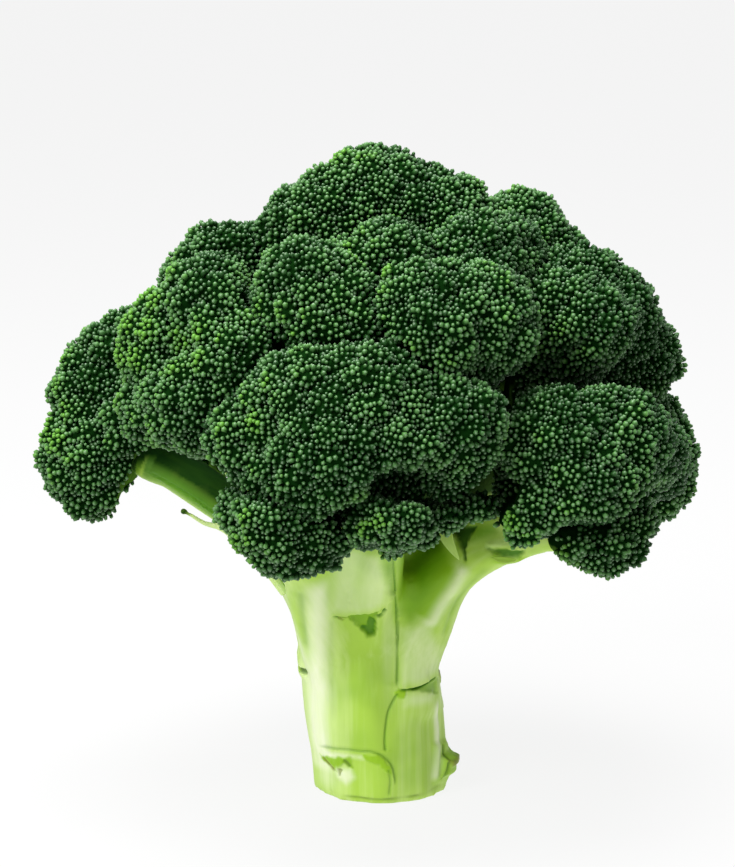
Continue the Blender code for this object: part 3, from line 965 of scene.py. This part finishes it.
def refined(mesh, chosen_face, name):
    """The mesh with the chosen faces cut in four."""
    shape = bmesh.new()
    shape.from_mesh(mesh)
    faces = [face for face in shape.faces if chosen_face(face.calc_center_median())]
    edges = {edge for face in faces for edge in face.edges}
    bmesh.ops.subdivide_edges(shape, edges=list(edges), cuts=1, use_grid_fill=True)
    bmesh.ops.triangulate(shape, faces=[face for face in shape.faces if len(face.verts) > 4])
    made = bpy.data.meshes.new(name)
    shape.to_mesh(made)
    shape.free()
    return made


def beside_lines(lines, reach):
    """A test of whether a place lies within reach of any of the lines."""
    share = np.linspace(0.0, 1.0, 7)[:, None]
    dots = [start + (end - start) * share for line in lines for start, end in zip(line, line[1:])]
    dots = np.vstack(dots)
    tree = KDTree(len(dots))
    for index, dot in enumerate(dots):
        tree.insert(dot, index)
    tree.balance()
    return lambda place: tree.find(place)[2] < reach


def long_fold(sculpt):
    """A long fold with shallow shoulders, and the panel that it turns into lower down."""
    sculpt.stroke(
        0, [(1.2, 80.8), (2.0, 74.7), (2.9, 64), (3.3, 54.4), (3.1, 45.2), (3.1, 38.3), (3.2, 32.1)],
        0.32, -0.55, fade=0.05, shoulder=0.5, deep=0.6,
    )
    sculpt.stroke(
        0, [(3.6, 31), (1.8, 27.6), (0.9, 25.3), (0.4, 22.1), (0.1, 18), (0.3, 14.7)],
        0.36, -0.5, fade=0.06, shoulder=0.3, deep=0.5,
    )


def highest_scar(sculpt):
    """The sleeve of the highest leaf scar, its shadow and the torn notch below it."""
    sculpt.patch(
        0,
        [
            (-13.4, 74.8), (-2.0, 74.8), (0.6, 63.8), (-0.6, 58.8), (-3, 56.6), (-6.5, 55.1),
            (-10.4, 54.7), (-13.4, 56),
        ],
        soft=1.8, pale=0.45,
    )
    sculpt.patch(0, [(-1.5, 76.8), (1.6, 76.8), (3.0, 60.8), (1.6, 59.8)], soft=1.2, deep=0.55)
    sculpt.lip(
        0,
        [
            (3.0, 61.3), (2.0, 59.9), (-0.1, 57.8), (-2.7, 55.8), (-6.5, 54.2), (-10.4, 53.8),
            (-13.8, 54.8),
        ],
        0.8, 5.0,
    )
    sculpt.patch(
        0, [(-9.6, 53.7), (-2.0, 55.2), (-2.4, 51.6), (-2.6, 47), (-4.5, 46.6), (-6.6, 49.5), (-8.6, 52)],
        0.9, soft=0.6, deep=0.4, lime=0.9,
    )
    # The notch's lower part and the small notch beside it: dark green, with a little painted shade.
    sculpt.patch(
        0, [(-4.2, 52.4), (-2.8, 51.8), (-2.8, 47.3), (-4.4, 46.9), (-6.4, 49.3), (-4.9, 49.7)],
        0.5, soft=0.7, dusk=0.12, deep=0.9,
    )
    sculpt.patch(
        0, [(-2.0, 53.2), (-1.3, 52.8), (0.4, 55.2), (-0.1, 56)],
        0.7, soft=0.4, dusk=0.25, deep=0.9,
    )
    sculpt.patch(
        0, [(-12.3, 53.3), (-11.0, 52.2), (-10.4, 52.4), (-11.2, 53.2)],
        0.3, soft=0.25, scar=0.6,
    )


def middle_scar(sculpt):
    """The middle scar: a pale sleeve, fresh tissue at its left and a torn end at its right."""
    sculpt.patch(
        0, [(4.6, 47.8), (11, 50.8), (14.0, 42.8), (14.2, 35.2), (11.9, 34.6), (9.2, 33.4), (4.4, 33)],
        soft=1.8, pale=0.42,
    )
    sculpt.lip(0, [(14.4, 34.2), (11.9, 33.6), (9.2, 32.6), (6.6, 32.1), (3.7, 32)], 0.7, 5.0)
    sculpt.patch(
        0, [(2.4, 31.1), (3.7, 31.7), (5.7, 31.4), (5.0, 29.4), (3.2, 29)],
        -0.4, soft=0.5, lime=1.0,
    )
    sculpt.patch(
        0, [(6.4, 31.7), (14.0, 32.8), (13.9, 29), (11.2, 30.4)],
        0.5, soft=0.7, deep=0.5, lime=0.4,
    )
    # A groove under the sleeve's edge with a painted shadow in it.
    sculpt.stroke(
        0, [(6.6, 31.4), (9.2, 31.9), (11.9, 32.8), (13.9, 33.4)],
        0.32, -0.4, deep=0.9, dusk=0.3,
    )
    sculpt.patch(0, [(5.6, 30.4), (12.8, 29.8), (12.4, 27.4), (5.4, 27)], -0.15, soft=1.6, pale=0.4)
    sculpt.patch(55, [(6.4, 31.8), (9.6, 31.8), (9.8, 29), (8.0, 28.8)], -0.7, soft=0.7, scar=0.6)


def lowest_scar(sculpt):
    """The lowest scar: a thin shadow over its pale band, torn shreds and fresh tissue."""
    sculpt.lip(
        0,
        [
            (-17.6, 13.4), (-14.6, 14.2), (-10.6, 14.6), (-6.6, 14.5), (-3.4, 14.6), (-0.8, 13.4),
            (1.3, 11), (2.1, 7.9), (2.4, 5.1),
        ],
        0.35, 3.0, shadow=0.4,
    )
    sculpt.patch(
        0, [(-16.8, 13), (-12, 13.8), (-6, 13.8), (-5.6, 12.7), (-9, 12.9), (-15, 11.8)],
        0.0, soft=0.8, pale=0.6,
    )
    sculpt.patch(
        0, [(-5.5, 14.2), (-1.3, 13.8), (1.3, 10.8), (1.8, 8.4), (0.2, 9.4), (-1.3, 11.5), (-4.1, 11.8)],
        -0.35, soft=0.5, lime=1.0,
    )
    sculpt.patch(
        0, [(-17.0, 11.5), (-15.4, 11.4), (-13.4, 10), (-12.8, 8.4), (-14.9, 9.3), (-16.8, 10.4)],
        -0.2, soft=0.5, lime=1.0,
    )
    sculpt.patch(
        0,
        [
            (-15.2, 11.7), (-11.9, 12.7), (-9.0, 13), (-8.5, 10), (-10.8, 10.8), (-12.4, 9.4),
            (-14.3, 10.4),
        ],
        -0.25, soft=0.5, lime=1.0, deep=0.15,
    )
    # Two dried grooves among the shreds, the first with a little painted shade in it.
    sculpt.stroke(0, [(-16.6, 11.3), (-14.8, 9.7), (-13.0, 8.3)], 0.4, -0.5, fade=0.2, scar=0.9, dusk=0.3)
    sculpt.stroke(0, [(-11.0, 12.2), (-9.8, 11.2), (-9.0, 10)], 0.45, -0.3, fade=0.2, deep=0.8, scar=0.4)
    sculpt.patch(
        0, [(-12.8, 9), (-9.0, 9.4), (-8.0, 7.2), (-10.2, 5.2), (-12.4, 6.8)],
        -0.3, soft=1.1, pale=0.85,
    )
    sculpt.patch(0, [(-12.4, 9.2), (-11.2, 9), (-11.8, 7.4)], 0.4, soft=0.25, scar=0.6, deep=0.3)
    sculpt.stroke(0, [(0.8, 10.5), (1.5, 6.9), (1.2, 2.4)], 0.4, -0.3, deep=0.35)


def foot_line(sculpt):
    """A dark line along the foot."""
    sculpt.stroke(
        0, [(-15.2, 2.3), (-8, 1.7), (1, 1.6), (8, 1.8), (15.2, 2.7)],
        0.35, -0.2, deep=0.5, scar=0.3,
    )


def foot_flap(sculpt):
    """Right outline: a flap of skin that stands off the foot, with a dried tip."""
    sculpt.patch(
        80, [(-8.5, 14.6), (-9.0, 4.0), (-3, 2.8), (3.2, 4.8), (3.2, 10.3), (-2, 13.6)],
        -0.7, soft=1.0, lime=0.4,
    )
    sculpt.patch(
        80, [(-6.4, 10.2), (-6.8, 5.2), (-1, 4.4), (2.4, 5.6), (2.2, 9.4), (-1, 10.2)],
        -1.9, soft=0.9, lime=0.3,
    )
    sculpt.patch(80, [(-5.4, 9.4), (-4.6, 7.4), (0.6, 7.4), (0.2, 9.2)], -0.9, soft=0.5, scar=0.8)
    sculpt.stroke(0, [(15.1, 14.2), (15.1, 9.0), (14.4, 4.0)], 0.4, -0.5, deep=0.8, scar=0.3)


def left_slit(sculpt):
    """Left outline: a small bump with a slit in it."""
    sculpt.patch(-90, [(-3, 31.5), (8, 31.5), (7, 36), (0, 38.8), (-3, 36)], -0.9, soft=1.3)
    # The slit: a dent darkened with painted shade.
    sculpt.patch(
        -90, [(0.0, 33.8), (4.0, 33.0), (8.2, 33.4), (9.4, 34.2), (8.2, 34.6), (4.0, 34.2), (0.5, 34.8)],
        1.0, soft=0.4, dusk=0.6, deep=0.5,
    )


def side_strands(sculpt):
    """Strands down the left and right sides."""
    sculpt.stroke(
        0, [(-17.0, 68.8), (-17.2, 56.8), (-17.4, 44.8), (-17.4, 26.8), (-16.8, 8.8)],
        2.5, 0.7, pale=0.85,
    )
    sculpt.stroke(-72, [(2, 62), (3, 44), (4, 26), (4, 6)], 5.0, 0.0, fade=0.05, pale=0.65)
    sculpt.stroke(0, [(-13.5, 54.8), (-13.6, 45.8), (-13.7, 33.8), (-13.7, 20.8)], 0.9, -0.25, deep=0.12)
    sculpt.stroke(0, [(-21.7, 63.9), (-21.3, 53), (-20.8, 42.4)], 1.0, -0.4, deep=0.35)
    sculpt.stroke(0, [(13.4, 27.8), (13.7, 18.8), (13.5, 10.8), (12.9, 3.8)], 1.0, 0.5, pale=0.95)


def hollow_below_crown(sculpt):
    """Under the crown: the dark hollow beside the fold, the bright band next to it and paler
    strands towards the right outline."""
    sculpt.patch(
        0, [(3.4, 78.8), (14.1, 73.3), (17.3, 70.2), (13.2, 62), (9, 54.3), (6.4, 50.8), (4.2, 53.8)],
        0.3, soft=2.2, deep=0.4, lime=1.0,
    )
    sculpt.patch(
        0, [(5, 76.8), (14, 72.8), (15.4, 70), (12, 64.6), (9.4, 60.8), (7.2, 64.8)],
        soft=1.8, deep=0.3,
    )
    sculpt.stroke(
        0, [(17.6, 68.4), (14.4, 62.2), (11.2, 56.6), (9.0, 51.8)],
        1.8, 0.0, lime=0.9, deep=0.1,
    )
    sculpt.stroke(0, [(20.9, 68.8), (17.9, 62.4), (14.2, 56.2), (11.2, 48.7)], 1.5, 0.5, pale=0.7)
    sculpt.stroke(0, [(26.9, 69.2), (21.6, 61.8), (17.6, 53.8), (15.0, 44.8)], 1.0, -0.3, deep=0.3)


def left_branch(sculpt):
    """The left branch: saturated green, with painted shade along its top under the crown and a bright
    lower edge of painted light from the floor.
    """
    sculpt.stroke(
        0, [(-63, 89.8), (-56.2, 86.7), (-48.4, 81.4), (-41.9, 76.0), (-34, 69.5)],
        3.6, 0.0, fade=0.02, deep=1.0,
    )
    # Painted shade along the top, under the crown.
    sculpt.stroke(0, [(-60, 92.4), (-54, 89.3), (-47, 84.8), (-38, 79.0)], 2.6, 0.0, fade=0.02, dusk=0.55)
    # Painted light from the floor along the lower edge.
    sculpt.stroke(
        0, [(-63, 87.2), (-56, 83.6), (-48.4, 78.1), (-41, 72.1)],
        1.5, 0.0, fade=0.02, lime=0.9,
    )
    sculpt.stroke(0, [(-62, 88.6), (-55, 84.9), (-47, 79.6), (-39, 73.2)], 0.6, -0.4, fade=0.1, deep=0.4)


def fork(sculpt):
    """The fork: a dark wedge of painted shadow in the crotch, and pale torn skin beside it."""
    # Painted shadow in the crotch.
    sculpt.patch(
        0,
        [
            (17.4, 76.4), (19.7, 77.8), (23.2, 78.4), (21.2, 75.2), (20.3, 72), (20.5, 69.4),
            (19.0, 73.1),
        ],
        0.8, soft=0.5, dusk=0.7, deep=1.0,
    )
    sculpt.stroke(0, [(13.2, 71.8), (14.0, 73.4), (14.5, 75.4)], 0.7, 0.5, pale=0.9)
    sculpt.patch(
        0, [(22.6, 78.4), (27.6, 79.8), (28.6, 77.4), (24.4, 75.2), (21.8, 74.4)],
        soft=1.6, deep=0.7, lime=0.7,
    )


def right_branch(sculpt):
    """The right branch: a pocket with a pale rim, its dark green partly painted shade."""
    # The pocket: dark green, partly painted shade.
    sculpt.patch(
        0, [(26.4, 73.4), (30.4, 73.6), (35.0, 73.4), (34.0, 71.3), (29.9, 70.9)],
        0.9, soft=0.7, deep=1.0, dusk=0.2,
    )
    sculpt.stroke(0, [(26.8, 71.6), (29.8, 69.9), (33.3, 70.0), (36.0, 72.0)], 0.8, 0.5, lime=0.9)
    sculpt.stroke(0, [(25.2, 74.0), (30.4, 75.2), (35.6, 74.8)], 0.8, 0.4, lime=0.4, pale=0.3)


def soft_colours(sculpt):
    """Soft differences of colour."""
    sculpt.tint(0, (1.0, 40.8), (1.6, 12), deep=0.12, pale=0.25)
    sculpt.tint(0, (-7.0, 38.8), (3.6, 12), lime=0.14)
    sculpt.tint(0, (-7.0, 17.8), (5.0, 3.5), deep=0.18)
    sculpt.tint(0, (7.0, 14.8), (4.5, 9), deep=0.22)
    sculpt.tint(0, (-15.5, 5.8), (2.6, 4.0), pale=0.5)


FRONT_MARKS = (
    long_fold, highest_scar, middle_scar, lowest_scar, foot_line, foot_flap, left_slit,
    side_strands, hollow_below_crown, left_branch, fork, right_branch, soft_colours,
)


def sculpt_front(sculpt):
    """The marks on the side of the stalk that faces the front."""
    for mark in FRONT_MARKS:
        mark(sculpt)


def sculpt_back(sculpt):
    """Folds and scars of the same kind on the sides and the back."""
    sculpt.stroke(140, [(2, 70), (1, 52), (-1, 36), (-3, 18)], 0.5, -0.9, shoulder=0.6, deep=0.6)
    sculpt.stroke(215, [(-3, 66), (-2, 48), (1, 30), (2, 6)], 0.5, -0.9, shoulder=0.6, deep=0.6)
    sculpt.lip(180, [(10, 36), (5, 33.4), (0, 32.8), (-5, 34.0), (-9, 37)], 0.8, 6, pale=0.5)
    sculpt.patch(180, [(-3, 32), (4, 31.6), (2.0, 27.0)], 0.8, lime=0.6, deep=0.8)
    sculpt.lip(125, [(8, 21), (4, 18.6), (-1, 18.4), (-6, 20)], 0.7, 5, pale=0.5)
    sculpt.stroke(250, [(4, 60), (3, 44), (2, 26), (1, 8)], 2.0, 0.7, pale=0.6)
    sculpt.stroke(165, [(-8, 60), (-7, 44), (-7, 26), (-6, 8)], 1.8, 0.6, pale=0.6)


def shows_at_front(place):
    """Whether a place on the stalk is seen from the front: the trunk and the far left branch."""
    on_branch = place.x < -24 * MM and place.z < 98 * MM
    return place.y < -4 * MM and (place.z < 64 * MM or on_branch)


def shade_below(sculpt, crown):
    """Darker green on the stalk where the crown keeps the light off it."""
    x, y, z = sculpt.points.T
    open_air = openness(crown, sculpt.points, sculpt.outward, 200 * MM)
    upward = np.tile((0.0, -0.3, 0.95), (len(sculpt.points), 1))
    open_sky = openness(crown, sculpt.points, upward, 60 * MM)
    hidden = smooth_step(sculpt.outward[:, 2], -0.05, 0.45) * (1 - smooth_step(open_sky, 0.2, 0.75))
    lit = smooth_step(x, 1 * MM, 4 * MM) * smooth_step(-y, 11 * MM, 18 * MM)
    shaded = (1 - smooth_step(open_air, 0.05, 0.6)) * (z > 50 * MM)
    # Painted shade under the crown, kept off the lit front of the right branch: deeper green where the crown
    # closes round the skin, and dark green where the skin faces up into it.
    sculpt.paint["deep"] += 1.1 * shaded * (1 - lit)
    sculpt.paint["dusk"] += (0.95 * hidden + 1 - smooth_step(open_air, 0.05, 0.3)) * (1 - 0.95 * lit)
    # Painted shade where the stalk shows through the gap between the front florets.
    sculpt.paint["dusk"] += smooth_step(z, 80 * MM, 83 * MM) * smooth_step(x, 0, 5 * MM)


def fit_under(sculpt, crown):
    """Meets the florets with a swelling, and thins the far left branch from below."""
    near_floret = distances(crown, sculpt.points, 6 * MM)
    sculpt.rise += (1 - smooth_step(near_floret, 1.0 * MM, 5.0 * MM)) * 1.0 * MM
    left = -sculpt.points[:, 0]
    branch = smooth_step(left, 28 * MM, 38 * MM) * (1 - smooth_step(left, 58 * MM, 64 * MM))
    sculpt.rise -= 1.3 * MM * branch * smooth_step(-sculpt.outward[:, 2], 0.1, 0.8)


def strand_flow(points):
    """Places for the streaks, drawn out along the trunk and fanned up into the branches."""
    flare = np.exp(-np.maximum(points[:, 2] - 40 * MM, 0.0) / (30 * MM))
    return (points - np.array(HEART)) * np.stack([flare, flare, np.full(len(flare), 0.05)], 1)


class BROCCOLI_OT_stalk(bpy.types.Operator):
    """Sculpt the stalk: its folds, strands and leaf scars"""

    bl_idname = "broccoli.stalk"
    bl_label = "Sculpt Stalk"

    def execute(self, context):
        stalk = context.scene.broccoli_stalk
        mesh = worked(
            merged_copy("stalk"), "stalk_skin",
            ("REMESH", {"mode": "VOXEL", "voxel_size": stalk.voxel}),
            ("SMOOTH", {"factor": 0.5, "iterations": 8}),
        )
        mesh = refined(mesh, shows_at_front, "stalk_skin")
        for reach in (1.0, 0.5):
            sculpt = Sculpt(mesh)
            sculpt_front(sculpt)
            mesh = refined(mesh, beside_lines(sculpt.lines, reach * MM), "stalk_skin")
        sculpt = Sculpt(mesh)
        sculpt_front(sculpt)
        sculpt_back(sculpt)
        crown = surface_tree(FLORETS)
        shade_below(sculpt, crown)
        fit_under(sculpt, crown)
        foot = smooth_step(sculpt.points[:, 2], 0.0, 1.0 * MM)
        move_points(mesh, sculpt.points + sculpt.outward * (sculpt.rise * foot)[:, None])
        for layer, amount in sculpt.paint.items():
            store(mesh, layer, np.clip(amount, 0.0, 1.0))
        store(mesh, "flow", strand_flow(sculpt.points))
        add_piece("stalk_skin", mesh, stalk_finish(stalk), "stalk_green", "stalk")
        return {"FINISHED"}


def own_axes(points, wide_end_first):
    """The middle of the points and their long, broad and thin ways. The long way runs from
    the broader end to the narrower one, or the other way round."""
    middle = points.mean(0)
    along, across, thin = np.linalg.svd(points - middle, full_matrices=False)[2]
    reach = (points - middle) @ along
    broad = np.abs((points - middle) @ across)
    if (broad[reach < 0].max() > broad[reach > 0].max()) != wide_end_first:
        along = -along
    return middle, along, across, thin


def flap_mesh(name, width, bow, widest):
    """A torn flap of skin in the place of a packed stub: a thin lens across, bowed along its
    length, that starts as a point and is broadest at a share of its length."""
    points = points_of(merged_copy(name))
    middle, along, across, thin = own_axes(points, True)
    reach = (points - middle) @ along
    stations, corners = 17, 10
    shape = bmesh.new()
    rings = []
    for share in np.linspace(0.0, 1.0, stations):
        growing = min(share / widest, 1.0) ** 0.8
        closing = max(0.0, (share - widest) / (1 - widest))
        half = (0.08 + growing * math.sqrt(1 - closing ** 2)) * width / 2 * MM
        bowed = thin * bow * MM * math.sin(math.pi * share)
        centre = middle + along * (reach.min() + share * np.ptp(reach)) + bowed
        ring = []
        for turn in np.arange(corners) * math.tau / corners:
            cupped = 0.5 * half * math.cos(turn) ** 2
            thickness = thin * (0.3 * half * math.sin(turn) + cupped)
            ring.append(shape.verts.new(centre + across * half * math.cos(turn) + thickness))
        rings.append(ring)
    for low, high in zip(rings, rings[1:]):
        for corner in range(corners):
            after = (corner + 1) % corners
            shape.faces.new((low[corner], low[after], high[after], high[corner]))
    shape.faces.new(rings[0])
    shape.faces.new(rings[-1])
    bmesh.ops.recalc_face_normals(shape, faces=shape.faces)
    made = bpy.data.meshes.new(name + "_skin")
    shape.to_mesh(made)
    shape.free()
    return made


def sprig_mesh():
    """The side sprig with a shrunken tip, and how near each point is to that tip."""
    mesh = worked(
        merged_copy("side_sprig"), "side_sprig_skin",
        ("REMESH", {"mode": "VOXEL", "voxel_size": 0.3 * MM}),
        ("SMOOTH", {"factor": 0.5, "iterations": 6}),
    )
    points = points_of(mesh)
    tip = points[points[:, 0].argmin()]
    near_tip = 1 - smooth_step(np.linalg.norm(points - tip, axis=1), 2.2 * MM, 3.4 * MM)
    move_points(mesh, points + (tip - points) * (0.42 * near_tip)[:, None])
    return mesh, near_tip


class BROCCOLI_OT_trimmings(bpy.types.Operator):
    """Shape the leaf stubs and the side sprig"""

    bl_idname = "broccoli.trimmings"
    bl_label = "Shape Stubs and Sprig"

    def execute(self, context):
        finish = stalk_finish(context.scene.broccoli_stalk)
        finish.name = "trimming_green"
        fork_flap = flap_mesh("leaf_stub_fork", 4.2, 0.6, 0.85)
        branch_flap = flap_mesh("leaf_stub_branch", 1.6, 0.4, 0.4)
        sprig, near_tip = sprig_mesh()
        trimmings = {
            "leaf_stub_fork": (fork_flap, {"pale": 0.35, "lime": 0.6}),
            "leaf_stub_branch": (branch_flap, {"pale": 0.1, "lime": 0.75, "deep": 0.2}),
            "side_sprig": (sprig, {"pale": 0.4 * (1 - near_tip), "dusk": near_tip}),
        }
        for name, (mesh, painted) in trimmings.items():
            points = points_of(mesh)
            for layer in LAYERS:
                store(mesh, layer, painted.get(layer, 0.0) + np.zeros(len(points)))
            store(mesh, "flow", points)
            add_piece(name + "_skin", mesh, finish, "stub_green", name)
        return {"FINISHED"}


# ---------------------------------------------------------------------------------------------
# Studio


# The point that the camera looks at, and where the two lights hang, in metres.
AIM = Vector((-4.6 * MM, 0.0, 96.8 * MM))
FRONT_LIGHT = (-0.6, -0.7, 0.8)
OVERHEAD_LIGHT = (-0.1, 0.0, 0.9)
# The floor is so wide that no view shows its edge.
FLOOR_RADIUS = 40.0


def add_light(name, power, size, place, target):
    """A square soft light that shines from a place towards the target."""
    light = bpy.data.lights.new(name, "AREA")
    light.energy = power
    light.size = size
    lamp = bpy.data.objects.new(name, light)
    lamp.location = place
    lamp.rotation_euler = (Vector(target) - Vector(place)).to_track_quat("-Z", "Y").to_euler()
    bpy.context.scene.collection.objects.link(lamp)
    return lamp


def floor_finish(studio):
    """Mostly its own pale light, so that the shadow under the head stays faint."""
    finish = Finish("studio_floor", Roughness=1.0, Specular_IOR_Level=0.0)
    finish.paint(Base_Color=studio.floor)
    glow = finish.node("ShaderNodeEmission", None, {"Color": studio.floor, "Strength": studio.glow})
    lit = Wire(finish, finish.shader.outputs[0])
    surface = finish.node("ShaderNodeMixShader", None, {0: studio.softness, 1: glow, 2: lit})
    finish.feed(finish.tree.nodes["Material Output"].inputs["Surface"], surface)
    return finish.material


def light_world(studio):
    """Light from all round, weaker than the background that the camera sees."""
    world = bpy.data.worlds.new("studio")
    world.use_nodes = True
    bpy.context.scene.world = world
    tree = world.node_tree
    background = tree.nodes["Background"]
    background.inputs["Color"].default_value = (*studio.floor, 1.0)
    rays = tree.nodes.new("ShaderNodeLightPath")
    strength = tree.nodes.new("ShaderNodeMapRange")
    strength.inputs["To Min"].default_value = studio.fill
    tree.links.new(rays.outputs["Is Camera Ray"], strength.inputs["Value"])
    tree.links.new(strength.outputs[0], background.inputs["Strength"])


class BROCCOLI_OT_studio(bpy.types.Operator):
    """Set up the floor, the lights and the camera"""

    bl_idname = "broccoli.studio"
    bl_label = "Set Up Studio"

    def execute(self, context):
        studio = context.scene.broccoli_studio
        scene = context.scene
        low, high = model_box
        shape = bmesh.new()
        bmesh.ops.create_circle(shape, cap_ends=True, radius=FLOOR_RADIUS, segments=64)
        mesh = bpy.data.meshes.new("studio_floor")
        shape.to_mesh(mesh)
        shape.free()
        floor = bpy.data.objects.new("studio_floor", mesh)
        mesh.materials.append(floor_finish(studio))
        scene.collection.objects.link(floor)
        light_world(studio)
        width = high.x - low.x
        add_light("front", studio.key, 3.0 * width, FRONT_LIGHT, AIM)
        add_light("overhead", studio.top, 3.5 * width, OVERHEAD_LIGHT, AIM)
        camera = bpy.data.cameras.new("camera")
        camera.lens = studio.lens
        camera.clip_start = 0.01
        eye = bpy.data.objects.new("camera", camera)
        away = Vector((0.0, -math.cos(studio.elevation), math.sin(studio.elevation)))
        eye.location = AIM + away * studio.distance
        eye.rotation_euler = (math.pi / 2 - studio.elevation, 0.0, 0.0)
        scene.collection.objects.link(eye)
        scene.camera = eye
        scene.view_settings.view_transform = "Standard"
        return {"FINISHED"}


class BROCCOLI_PT_panel(bpy.types.Panel):
    """The steps that finish the head, in order, with their settings"""

    bl_idname = "BROCCOLI_PT_panel"
    bl_label = "Broccoli Head"
    bl_space_type = "VIEW_3D"
    bl_region_type = "UI"
    bl_category = "Broccoli"

    def draw(self, context):
        for step, group in STEPS:
            box = self.layout.box()
            box.operator(step.bl_idname)
            settings = getattr(context.scene, group)
            for name in settings.__annotations__:
                box.prop(settings, name)


GROUPS = {
    "broccoli_flesh": BroccoliFleshSettings,
    "broccoli_buds": BroccoliBudSettings,
    "broccoli_stalk": BroccoliStalkSettings,
    "broccoli_studio": BroccoliStudioSettings,
}
STEPS = (
    (BROCCOLI_OT_studio, "broccoli_studio"),
    (BROCCOLI_OT_flesh, "broccoli_flesh"),
    (BROCCOLI_OT_buds, "broccoli_buds"),
    (BROCCOLI_OT_stalk, "broccoli_stalk"),
    (BROCCOLI_OT_trimmings, "broccoli_stalk"),
)
CLASSES = (*GROUPS.values(), *(step for step, _ in STEPS), BROCCOLI_PT_panel)


def register():
    for each in CLASSES:
        bpy.utils.register_class(each)
    for name, group in GROUPS.items():
        setattr(bpy.types.Scene, name, PointerProperty(type=group))


def unregister():
    for name in GROUPS:
        delattr(bpy.types.Scene, name)
    for each in reversed(CLASSES):
        bpy.utils.unregister_class(each)


def main():
    register()
    bpy.ops.broccoli.studio()
    bpy.ops.broccoli.flesh()
    bpy.ops.broccoli.buds()
    bpy.ops.broccoli.stalk()
    bpy.ops.broccoli.trimmings()


if __name__ == "__main__":
    main()
